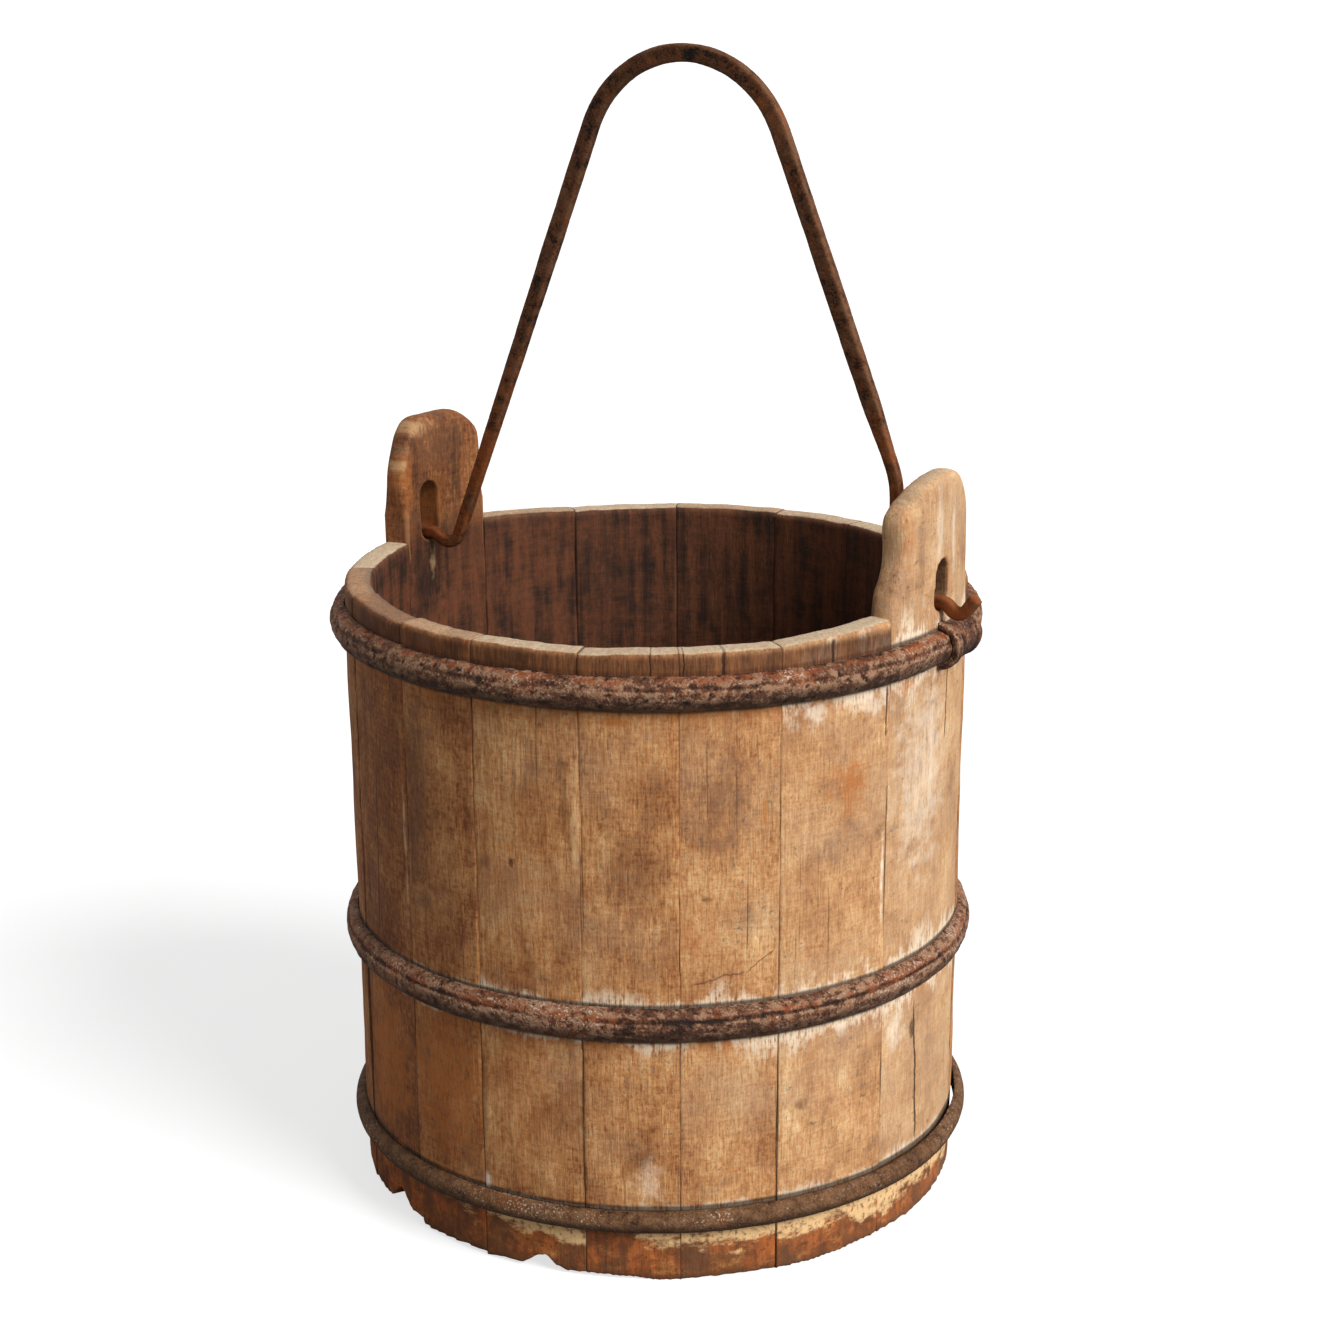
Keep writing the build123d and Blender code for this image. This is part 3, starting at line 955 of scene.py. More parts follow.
    def _rim_band(self, colour: Socket) -> Socket:
        """Dark stained band between the top hoop and the rim.

        Args:
            colour: Colour so far.

        Returns:
            Colour with the band.
        """
        graph, shown = self.graph, self.shown
        start = HOOPS["top_hoop"].high
        rim = graph.product(graph.fade(self.height, start - 3 * MM, start),
                            graph.minus(1.0, self.given["Ear"]))
        stained = graph.weigh((shown["Fibre"], 0.45), (shown["Blotch"], 0.55))
        band = graph.ramp(stained, (0.32, WOOD.seam), (0.48, WOOD.umber), (0.66, WOOD.dark),
                          (0.85, WOOD.mid))
        share = graph.product(rim, graph.fade(self.height, RIM_HEIGHT, RIM_HEIGHT - 5 * MM, 0.9))
        return graph.mix(share, colour, band)

    def _inner_face(self, colour: Socket) -> Socket:
        """Dark, damp wood on the inside of the tub.

        Args:
            colour: Colour so far.

        Returns:
            Colour with the inner face.
        """
        graph = self.graph
        damp = graph.weigh((self.patches, 0.45), (self.streak, 0.45), (self.shown["Sawn"], 0.1))
        inner = graph.coat(WOOD.inside_dark, (graph.fade(damp, 0.38, 0.6), WOOD.inside),
                           (graph.fade(self.mottled, 0.7, 0.98, 0.75), WOOD.inside_dark))
        return graph.mix(self.inside, colour, inner)

    def _lip(self, colour: Socket) -> Socket:
        """Pale wear on the top of the rim and on the edges of the ears.

        Args:
            colour: Colour so far.

        Returns:
            Colour with the wear.
        """
        graph, given = self.graph, self.given
        near = graph.fade(self.height, RIM_HEIGHT - 15 * MM, RIM_HEIGHT - 7 * MM)
        rubbed = graph.fade(graph.math("MULTIPLY_ADD", self.crust, 0.5, given["Worn"]), 0.5, 0.95)
        colour = graph.mix(graph.product(rubbed, given["Ear"], near, 0.35), colour, WOOD.mid)
        flat = graph.fade(graph.math("MULTIPLY_ADD", self.crust, 0.4, given["Up"]), 0.95, 1.18)
        light = graph.math("MULTIPLY_ADD", given["Ear"], -0.5, graph.fade(given["Tone"], 0.2, 0.62))
        worn = graph.ramp(self.crumbs, (0.5, WOOD.grey), (0.75, WOOD.worn), (1.0, WOOD.lip))
        return graph.mix(graph.product(flat, light, near), colour, worn)

    def _seam(self) -> Socket:
        """Mask of the joint to the next stave, where it has opened.

        Returns:
            The mask, which is 1 where the joint is open.
        """
        graph, height = self.graph, self.height
        edge = graph.minus(self.given["Half Width"], graph.math("ABSOLUTE", self.across))
        gaps = graph.noise(self.seeded, (1, 1, 18), 4.0, 0.6)
        low = graph.fade(height, HOOPS["middle_hoop"].high, HOOPS["middle_hoop"].low)
        opened = graph.fade(graph.math("MULTIPLY_ADD", low, 0.1, gaps), 0.4, 0.58)
        return graph.product(graph.fade(edge, OVERLAP + self.SEAM_SOFT, OVERLAP), opened,
                             graph.fade(height, RIM_HEIGHT + 1 * MM, RIM_HEIGHT - 3 * MM))


@dataclass(frozen=True)
class IronFinish:
    """Colours and roughness of rusted iron, and the share of painted shade on its undersides."""

    core: Colour = tint("1f130c")
    brown: Colour = tint("573523")
    tan: Colour = tint("937056")
    orange: Colour = tint("8a4620")
    speck: Colour = tint("c4b6a6")
    orange_share: float = 0.42
    speck_share: float = 0.36
    rough: float = 0.78
    bump: float = 1.0
    gloss: float = 0.25
    # Share of painted shade on faces that turn downwards.
    shade: float = 0.7
    fresh_below: float = -1.0


HOOP_IRON = IronFinish()
LOWER_HOOP_IRON = IronFinish(
    core=tint("21160e"), brown=tint("563922"), tan=tint("6f5036"), orange=tint("7a4722"),
    orange_share=0.38, rough=0.72, bump=0.85, gloss=0.2)
BAIL_IRON = IronFinish(
    core=tint("17110e"), brown=tint("55341f"), tan=tint("6b4932"), orange=tint("86461e"),
    speck=tint("6d5f55"), orange_share=0.4, speck_share=0.15, rough=0.68, bump=0.45, gloss=0.12, shade=0.2,
    fresh_below=0.34)


def make_rust() -> NodeTree:
    """Rusted iron: dark pits, brown scale that pales where it is rubbed, orange bloom and pale specks.

    Returns:
        The shader group.
    """
    colours = {name: "colour" for name in ("Core", "Brown", "Tan", "Orange", "Speck")}
    numbers = values("Worn", "Line", "Orange Share", "Speck Share")
    graph = Graph.group("rust", Tree.SHADER, {"Place": "vector"} | colours | numbers,
                        {"Colour": "colour"} | values("Height", "Bare"))
    given = graph.given
    place, worn = given["Place"], given["Worn"]
    broad = graph.noise(place, 24.0, 4.0, 0.6)
    scale = graph.noise(place, 170.0, 6.0, 0.7)
    grit = graph.noise(place, 850.0, 3.0, 0.65)
    flecks = graph.noise(place, 280.0, 5.0, 0.72)
    light = graph.weigh((scale, 1.8), (grit, 1.0), (broad, 0.7), (worn, 0.9), base=-1.3)
    bloom = graph.weigh((graph.noise(place, 60.0, 6.0, 0.72), 0.7), (flecks, 0.7),
                        (given["Orange Share"], 0.5), (broad, 0.5), (given["Line"], 0.13))
    rubbed = graph.weigh((grit, 1.0), (given["Speck Share"], 0.25), (broad, 0.5), (worn, 0.25))
    bare = graph.fade(rubbed, 1.02, 1.16)
    colour = graph.coat(
        given["Core"],
        (graph.fade(light, 0.29, 0.51), given["Brown"]),
        (graph.fade(light, 0.54, 0.84), given["Tan"]),
        (graph.fade(bloom, 1.17, 1.42, 0.75), given["Orange"]),
        (graph.product(bare, 0.8), given["Speck"]),
        (graph.fade(worn, -0.12, -0.5, 0.8), given["Core"]))
    return graph.give(Colour=colour, Height=graph.weigh((scale, 1.2), (grit, 0.6)), Bare=bare)


class Surface:
    """A material under way, with what every finish reads from its piece."""

    def __init__(self, name: str) -> None:
        """Start a material and read the piece's places, normals and relief.

        Args:
            name: Name of the material.
        """
        self.material = bpy.data.materials.new(name)
        self.material.use_nodes = True
        self.shader = self.material.node_tree.nodes["Principled BSDF"]
        self.graph = Graph(self.material.node_tree)
        coords = self.graph.put("ShaderNodeTexCoord").outputs
        self.place, self.normal = coords["Object"], coords["Normal"]
        self.worn = self.graph.put("ShaderNodeAttribute", {"attribute_name": "relief"}).outputs["Fac"]

    def levels(self) -> tuple[Socket, ...]:
        """Height of a point and how far its normal points up."""
        return tuple(self.graph.split(vector)[2] for vector in (self.place, self.normal))

    def finish(self, colour: Feed, rough: Feed, relief: Feed, bump: float, depth: float,
               gloss: float = 0.25) -> Material:
        """Feed the shader and return the material.

        Args:
            colour: Base colour.
            rough: Roughness.
            relief: Height of the fine relief.
            bump: Strength of the relief.
            depth: Depth of the relief.
            gloss: Specular level.

        Returns:
            The finished material.
        """
        bumped = self.graph.put("ShaderNodeBump", Strength=bump, Distance=depth, Height=relief)
        feeds = {"Base Color": colour, "Roughness": rough, "Normal": bumped.outputs[0]}
        for name, value in feeds.items():
            self.graph.feed(self.shader.inputs[name], value)
        self.shader.inputs["Specular IOR Level"].default_value = gloss
        return self.material


class Finisher:
    """Makes the materials from the shared effects."""

    WOOD_RELIEF = 0.7 * MM
    STAVE_BUMP = 0.45
    PLANK_BUMP = 0.5
    IRON_RELIEF = 1.2 * MM
    HOLLOW = -3.0
    SMALL_HOLE = 6
    CRACK_WANDER = 3 * MM
    TIDE_WANDER = 9 * MM

    def __init__(self) -> None:
        """Build the shared effects once."""
        self.grain = make_grain()
        self.stave = StaveWood(self.grain).build()
        self.spot = make_spot()
        self.crack = make_crack()
        self.rust = make_rust()

    def stave_wood(self, stave: "Stave") -> Material:
        """Make the finish of one stave, with its own marks, cracks and tide lines.

        Args:
            stave: The stave.

        Returns:
            The material.
        """
        surface = Surface(f"{stave.node}_wood")
        graph, traits = surface.graph, stave.traits
        rise, up = surface.levels()
        turned = graph.put("ShaderNodeMapping", Vector=surface.place, Rotation=(0, 0, -stave.middle))
        wood = graph.use(self.stave, Turned=turned.outputs[0], Seed=stave.seed, Half_Width=stave.half_width,
                         Tone=traits.tone, Figure=traits.figure, Chalk=traits.chalk, Bleach=traits.bleach,
                         Worn=surface.worn, Up=up, Ear=1.0 if stave.is_ear else 0.0)
        colour, relief, across = wood["Colour"], wood["Height"], wood["Across"]
        faces = {Face.INSIDE: wood["Inside"], Face.OUTSIDE: graph.minus(1.0, wood["Inside"]),
                 Face.SLOT: graph.fade(graph.facing(surface.normal, surface.place), 0.75, 0.35)}
        for mark in traits.marks:
            spot = graph.use(self.spot, Across=across, Height=rise, At_Across=stave.across(mark.angle),
                             At_Height=mark.height * MM, Wide=mark.wide * MM / 2, Tall=mark.tall * MM / 2,
                             Ragged=mark.ragged)["Mask"]
            spot = graph.product(spot, faces[mark.face])
            colour = graph.mix(graph.product(spot, mark.strength), colour, MARK_COLOURS[mark.kind])
            if mark.kind is HOLE and mark.wide < self.SMALL_HOLE:
                relief = graph.total(relief, graph.product(spot, self.HOLLOW))
        for crack in traits.cracks:
            line = graph.use(self.crack, Across=across, Height=rise, Width=crack.width * MM,
                             Foot_Across=stave.across(crack.foot[0]), Foot=crack.foot[1] * MM,
                             Head_Across=stave.across(crack.head[0]), Head=crack.head[1] * MM,
                             Wander=self.CRACK_WANDER)["Mask"]
            colour = graph.mix(graph.product(line, 0.92), colour, WOOD.seam)
            relief = graph.total(relief, graph.product(line, self.HOLLOW))
        for tide in traits.tides:
            line = graph.use(self.crack, Across=rise, Height=across, Width=tide.width * MM,
                             Foot_Across=tide.foot[1] * MM, Foot=stave.across(tide.foot[0]),
                             Head_Across=tide.head[1] * MM, Head=stave.across(tide.head[0]),
                             Wander=self.TIDE_WANDER)["Mask"]
            colour = graph.mix(graph.product(line, 0.6), colour, WOOD.umber)
        return surface.finish(colour, wood["Rough"], relief, self.STAVE_BUMP, self.WOOD_RELIEF)

    def plank_wood(self, name: str, seed: float) -> Material:
        """Make the finish of a bottom board or a peg, with its grain along X.

        Args:
            name: Name of the material.
            seed: Number that sets its grain apart.

        Returns:
            The material.
        """
        surface = Surface(name)
        graph = surface.graph
        along, across, height = graph.split(surface.place)
        shown = graph.use(self.grain, Place=graph.join(across, height, along), Seed=seed)
        light = graph.fade(graph.weigh((shown["Fibre"], 1.0), (shown["Blotch"], 0.5)), 0.5, 1.0)
        colour = graph.coat(
            WOOD.umber,
            (light, WOOD.dark),
            (graph.product(shown["Rings"], 0.5), WOOD.inside_dark),
            (graph.fade(shown["Speck"], 0.55, 0.75, 0.6), WOOD.inside_dark),
            (graph.fade(surface.worn, 0.05, 0.4, 0.8), WOOD.inside_dark))
        rough = graph.math("MULTIPLY_ADD", shown["Speck"], 0.3, 0.6)
        return surface.finish(colour, rough, shown["Relief"], self.PLANK_BUMP, self.WOOD_RELIEF)

    def iron(self, name: str, finish: IronFinish, lines: tuple[float, ...] = ()) -> Material:
        """Make a rusted iron, with painted shade on its undersides.

        Args:
            name: Name of the material.
            finish: Its colours and roughness.
            lines: Heights of the ridges that glow with fresh rust.

        Returns:
            The material.
        """
        surface = Surface(name)
        graph = surface.graph
        height, up = surface.levels()
        line: Feed = 0.0
        for level in lines:
            wander = graph.math("MULTIPLY_ADD", graph.noise(surface.place, 40.0), 4 * MM, level - 2 * MM)
            gap = graph.math("ABSOLUTE", graph.minus(height, wander))
            line = graph.math("MAXIMUM", line, graph.fade(gap, 1.6 * MM, 0.2 * MM))
        fresh = graph.fade(height, finish.fresh_below + 0.1, finish.fresh_below, 0.35)
        rust = graph.use(self.rust, Place=surface.place, Worn=surface.worn, Line=line, Core=finish.core,
                         Brown=finish.brown, Tan=finish.tan, Orange=finish.orange, Speck=finish.speck,
                         Orange_Share=graph.total(fresh, finish.orange_share),
                         Speck_Share=finish.speck_share)
        graph.feed(surface.shader.inputs["Metallic"], graph.product(rust["Bare"], 0.3))
        rough = graph.math("MULTIPLY_ADD", rust["Bare"], -0.25, finish.rough)
        # Painted shade: faces that turn downwards are darkened towards the core colour.
        colour = graph.mix(graph.fade(up, 0.3, -0.6, finish.shade), rust["Colour"], finish.core)
        return surface.finish(colour, rough, rust["Height"], finish.bump, self.IRON_RELIEF, finish.gloss)


@dataclass(frozen=True)
class Mark:
    """A mark on a stave, by its angle round the tub in degrees and sizes in millimetres."""

    kind: MarkKind
    angle: float
    height: float
    wide: float
    tall: float
    strength: float = 0.8
    ragged: float = 2.2
    face: Face = Face.OUTSIDE


@dataclass(frozen=True)
class Crack:
    """A drying crack between two places, each an angle in degrees and a height in millimetres."""

    foot: tuple[float, float]
    head: tuple[float, float]
    width: float = 0.8


@dataclass(frozen=True)
class StaveTraits:
    """What sets one stave apart: its tone, its worn ends and its marks, in millimetres and degrees."""

    tone: float = 0.55
    foot: tuple[float, float] = (0.6, 0.6)
    notch: tuple[float, float, float] = (0.0, 0.0, 6.0)
    rim: tuple[float, float] = (0.3, 0.3)
    bow: float = 0.0
    figure: float = 0.15
    chalk: float = 0.2
    bleach: float = 0.0
    marks: tuple[Mark, ...] = ()
    cracks: tuple[Crack, ...] = ()
    tides: tuple[Crack, ...] = ()


SEEN_TRAITS = {
    "front_stave_2": StaveTraits(0.36, (1.0, 2.0), rim=(0.4, 0.9), bow=0.1, chalk=0.1),
    "front_stave_3": StaveTraits(
        0.32, (2.0, 4.0), (243.0, 8.5, 7.0), (0.2, 1.0), -0.2, chalk=0.1,
        marks=(Mark(GRIME, 236.0, 158, 22, 60, 0.5), Mark(HOLE, 233.5, 165, 4, 22, 0.8),
               Mark(PALE, 250.0, 195, 3, 100, 0.6), Mark(RUST, 240.0, 80, 66, 110, 0.85)),
        cracks=(Crack((238.0, 140), (240.5, 230), 0.6),)),
    "front_stave_4": StaveTraits(
        0.4, (1.5, 1.5), rim=(0.2, 0.8), bow=0.15, chalk=0.15,
        marks=(Mark(GRIME, 254.0, 225, 26, 130, 0.55), Mark(RUST, 259.0, 85, 76, 110, 0.75),
               Mark(GRIME, 257.6, 304, 14, 8, 0.7))),
    "front_stave_5": StaveTraits(
        0.58, (0.8, 2.0), (279.5, 6.5, 7.0), (0.4, 1.2), -0.1, figure=0.5, chalk=0.35,
        marks=(Mark(HOLE, 275.0, 205, 5, 5, 0.9), Mark(GRIME, 270.0, 203, 10, 10, 0.7),
               Mark(KNOT, 285.0, 240, 7, 50, 0.6), Mark(PALE, 287.0, 225, 5, 90, 0.6),
               Mark(GRIME, 283.0, 85, 34, 50, 0.45), Mark(CHALK, 268.5, 41, 6, 10, 0.95, 1.2),
               Mark(GRIME, 268.0, 85, 10, 70, 0.5), Mark(RUST, 276.0, 85, 70, 100, 0.3),
               Mark(RUST, 277.0, 200, 80, 140, 0.2))),
    "front_stave_6": StaveTraits(
        0.55, (2.0, 0.5), rim=(1.6, 0.4), bow=0.2, chalk=0.45,
        marks=(Mark(KNOT, 298.0, 62, 18, 14, 0.5, 1.8), Mark(GRIME, 296.0, 70, 40, 26, 0.3),
               Mark(RUST, 294.0, 277, 20, 7, 0.9), Mark(GRIME, 297.0, 205, 44, 70, 0.4),
               Mark(CHALK, 299.0, 52, 20, 30, 0.3)),
        cracks=(Crack((300.0, 296), (300.0, 309), 0.5),)),
    "front_stave_7": StaveTraits(
        0.61, (0.4, 0.2), rim=(0.3, 0.7), bow=-0.15, chalk=0.75, bleach=0.05,
        marks=(Mark(KNOT, 309.4, 192, 7, 5, 0.7), Mark(RUST, 319.5, 231, 3, 22, 0.8, 1.6),
               Mark(GRIME, 312.0, 240, 40, 44, 0.45), Mark(RUST, 308.0, 175, 24, 40, 0.35)),
        cracks=(Crack((305.5, 296), (305.5, 309), 0.5), Crack((312.0, 296), (312.2, 309), 1.1)),
        tides=(Crack((306.5, 151), (316.5, 155), 0.7), Crack((316.0, 154), (321.8, 165), 0.7))),
    "front_stave_8": StaveTraits(
        0.62, (0.2, 1.0), rim=(0.6, -2.4), bow=0.1, chalk=0.95, bleach=0.14,
        marks=(Mark(RUST, 336.5, 236, 28, 36, 0.65, 3.0), Mark(KNOT, 343.0, 211, 10, 11, 0.6),
               Mark(CHALK, 329.0, 276, 22, 10, 0.5, 3.0), Mark(CHALK, 341.0, 274, 18, 16, 0.5, 3.0),
               Mark(CHALK, 344.3, 185, 3, 60, 0.75), Mark(KNOT, 327.0, 84, 9, 7, 0.6)),
        cracks=(Crack((332.0, 296), (332.0, 309), 1.0), Crack((344.2, 255), (344.4, 282), 0.6))),
    "right_ear_stave": StaveTraits(
        0.6, (1.0, 2.0), bow=-0.1, chalk=1.0, bleach=0.36,
        marks=(Mark(HOLE, 354.5, 100, 4, 14, 0.9), Mark(RUST, 350.0, 277, 18, 12, 0.8),
               Mark(CHALK, 349.0, 105, 20, 30, 0.5), Mark(RUST, 350.0, 345, 10, 40, 0.5),
               Mark(RUST, 1.6, 306, 20, 16, 0.6), Mark(CHALK, 359.0, 245, 6, 80, 0.4),
               # The KNOT-coloured mark on Face.SLOT is painted shade on the walls of the slot.
               Mark(CHALK, 356.0, 230, 60, 130, 0.4), Mark(KNOT, 1.6, 319, 44, 60, 0.9, 0.5, Face.SLOT),
               Mark(CHALK, 0.0, 345, 9, 60, 0.4, 1.4), Mark(CHALK, 6.5, 338, 7, 60, 0.45, 1.4),
               Mark(GRIME, 353.5, 340, 9, 60, 0.4), Mark(KNOT, 352.0, 364, 26, 10, 0.4)),
        cracks=(Crack((357.0, 36), (355.0, 118), 1.1), Crack((4.9, 240), (4.9, 283), 0.7))),
    "left_ear_stave": StaveTraits(
        0.24, (1.0, 1.5), bow=0.1,
        marks=(Mark(RUST, 177.0, 318, 22, 44, 0.75), Mark(RUST, 186.0, 342, 14, 44, 0.4, 3.0),
               Mark(PALE, 189.5, 330, 9, 90, 0.6, 3.0), Mark(PALE, 188.0, 356, 16, 40, 0.5, 3.0),
               Mark(GRIME, 172.0, 285, 50, 40, 0.6), Mark(GRIME, 176.0, 358, 60, 40, 0.6),
               Mark(HOLE, 183.5, 335, 9, 70, 0.5), Mark(HOLE, 180.0, 287, 46, 56, 0.9, 2.0, Face.INSIDE),
               Mark(PALE, 185.0, 368, 46, 14, 0.4, 3.0),
               Mark(PALE, 178.0, 298, 7, 24, 0.4, face=Face.INSIDE),
               # The two dark HOLE marks at 170 degrees, beside the slot, are a painted shadow of the bail.
               Mark(HOLE, 170.0, 338, 14, 80, 0.6, 1.4),
               Mark(HOLE, 170.0, 322, 12, 60, 0.5, 1.4, Face.INSIDE))),
    "back_stave_7": StaveTraits(0.45, (0.5, 1.5), rim=(0.4, -2.5), chalk=0.1),
}


@dataclass
class Stave:
    """One stave of the tub, shaped from an upright section that is spun round the axis.

    Its number is its place in the row, which seeds its grain and wear.
    """

    node: str
    number: int
    spin_step: float = radians(0.6)
    rim_round: float = 2.4 * MM
    start: float = field(init=False)
    arc: float = field(init=False)
    top: float = field(init=False)
    traits: StaveTraits = field(init=False)

    def __post_init__(self) -> None:
        """Read the stave's height and its arc, a little wider than its solid's, and choose its traits."""
        places = corners(self.node)
        mean = places.mean(axis=0)
        facing = atan2(mean[1], mean[0])
        turned = (np.arctan2(places[:, 1], places[:, 0]) - facing + pi) % (2 * pi) - pi
        overlap = OVERLAP / MIDDLE_RADIUS
        self.start = facing + float(turned.min()) - overlap
        self.arc = float(turned.max() - turned.min()) + 2 * overlap
        self.top = float(places[:, 2].max())
        self.traits = SEEN_TRAITS.get(self.node) or self._hidden_traits()

    @property
    def middle(self) -> float:
        """Angle of the stave's middle."""
        return self.start + self.arc / 2

    @property
    def half_width(self) -> float:
        """Half of the stave's width round the tub."""
        return self.arc / 2 * MIDDLE_RADIUS

    @property
    def seed(self) -> float:
        """Number that sets the stave's grain and wear apart."""
        return 0.731 * self.number + 0.19

    @property
    def is_ear(self) -> bool:
        """Whether the stave stands above the rim."""
        return self.top > RIM_HEIGHT + 10 * MM

    def _hidden_traits(self) -> StaveTraits:
        """Make up the traits of a stave on the far side from its number.

        Returns:
            The traits.
        """
        def spread(step: float) -> float:
            """Share between 0 and 1 that differs from stave to stave."""
            return self.number * step % 1

        return StaveTraits(tone=0.42 + 0.2 * spread(0.618), bow=0.4 * spread(0.382) - 0.2,
                           rim=(0.8 * spread(0.273), 0.8 * spread(0.471)),
                           foot=(2.5 * spread(0.618), 2.5 * spread(0.317)))

    def across(self, angle: float) -> float:
        """Distance round the tub from the stave's middle to an angle in degrees."""
        turn = (radians(angle) - self.middle + pi) % (2 * pi) - pi
        return turn * MIDDLE_RADIUS

    def _blank(self) -> Piece:
        """Spin the upright section into a plain stave, and cut the groove for the bottom boards.

        Returns:
            The plain stave.
        """
        clear_selection()
        bpy.ops.mesh.primitive_plane_add(size=1, rotation=(pi / 2, 0, 0),
                                         location=(FOOT_RADIUS - WALL / 2, 0, self.top / 2))
        piece = bpy.context.object
        piece.scale = (WALL, self.top, 1)
        apply_place(piece)
        pick(piece, lambda place: place.z > self.top / 2)
        with editing(piece, everything=False):
            bpy.ops.transform.translate(value=(TAPER * self.top, 0, 0))
        piece.rotation_euler.z = self.start
        apply_place(piece)
        steps = max(8, round(self.arc / self.spin_step))
        with editing(piece):
            bpy.ops.mesh.spin(steps=steps, angle=-self.arc, center=(0, 0, 0), axis=(0, 0, 1))
        clean(piece)
        for level in (BOARD_BOTTOM, BOARD_TOP):
            with editing(piece):
                bpy.ops.mesh.bisect(plane_co=(0, 0, level), plane_no=(0, 0, 1))
        inner = FOOT_RADIUS - WALL + 1 * MM
        pick(piece, lambda place: BOARD_BOTTOM < place.z < BOARD_TOP and place.xy.length < inner,
             faces=True)
        with editing(piece, everything=False):
            bpy.ops.mesh.extrude_region_shrink_fatten(TRANSFORM_OT_shrink_fatten={"value": -GROOVE_DEPTH})
        return piece

    def _shape(self, piece: Piece) -> None:
        """Round the rim of a plain stave.

        Args:
            piece: The plain stave.
        """
        pick(piece, lambda place: place.z > RIM_HEIGHT - 1 * MM)
        with editing(piece, everything=False):
            bpy.ops.mesh.select_mode(type="EDGE")
            bpy.ops.mesh.bevel(offset=self.rim_round, segments=3)

    def _soften(self, piece: Piece) -> None:
        """Leave a plain stave as it is."""

    def build(self, finisher: Finisher) -> None:
        """Make the stave, wear it and dress it.

        Args:
            finisher: Maker of the materials.
        """
        piece = self._blank()
        self._shape(piece)
        remake(piece, STAVE_VOXEL, 2)
        self._soften(piece)
        traits = self.traits
        notch_angle, notch_depth, notch_width = traits.notch
        modify(piece, "NODES", node_group=bpy.data.node_groups["stave wear"], inputs={
            "Turn": self.middle, "Half Width": self.half_width, "Seed": self.seed,
            "Foot Start": traits.foot[0] * MM, "Foot End": traits.foot[1] * MM,
            "Notch Place": self.across(notch_angle), "Notch Depth": notch_depth * MM,
            "Notch Width": notch_width * MM, "Rim Start": traits.rim[0] * MM, "Rim End": traits.rim[1] * MM,
            "Bow": traits.bow * MM, "Top": self.top})
        settle(piece, self.node, Body.TUB, finisher.stave_wood(self))


@dataclass(frozen=True)
class EarForm:
    """What sets one ear apart: its slot's length, where its rounding starts above the rim, and its outline.

    Millimetres. The outline's points hold a smooth curve, seen square to the ear.
    """

    slot_length: float
    soft_from: float
    outline: tuple[tuple[float, float], ...]


EARS = {
    "right_ear_stave": EarForm(25, -8, (
        (-60, -300), (-50, 292), (-42.5, 308), (-41, 320), (-37.5, 329), (-33, 336), (-34, 345),
        (-36.5, 352), (-34, 359), (-25.5, 365), (-12.5, 371), (2, 374.5), (16, 373.5), (29, 367.5),
        (38.5, 358.5), (44.5, 345), (48, 322), (50, 300), (60, -300))),
    "left_ear_stave": EarForm(31, 12, (
        (-60, -300), (-40, 300), (-36, 314), (-35, 335), (-35, 350), (-29.5, 362), (-20, 371.5),
        (-7, 377.5), (5, 379), (15.5, 375), (24.5, 365), (31.5, 351), (36, 332), (38.5, 314),
        (42, 300), (60, -300))),
}


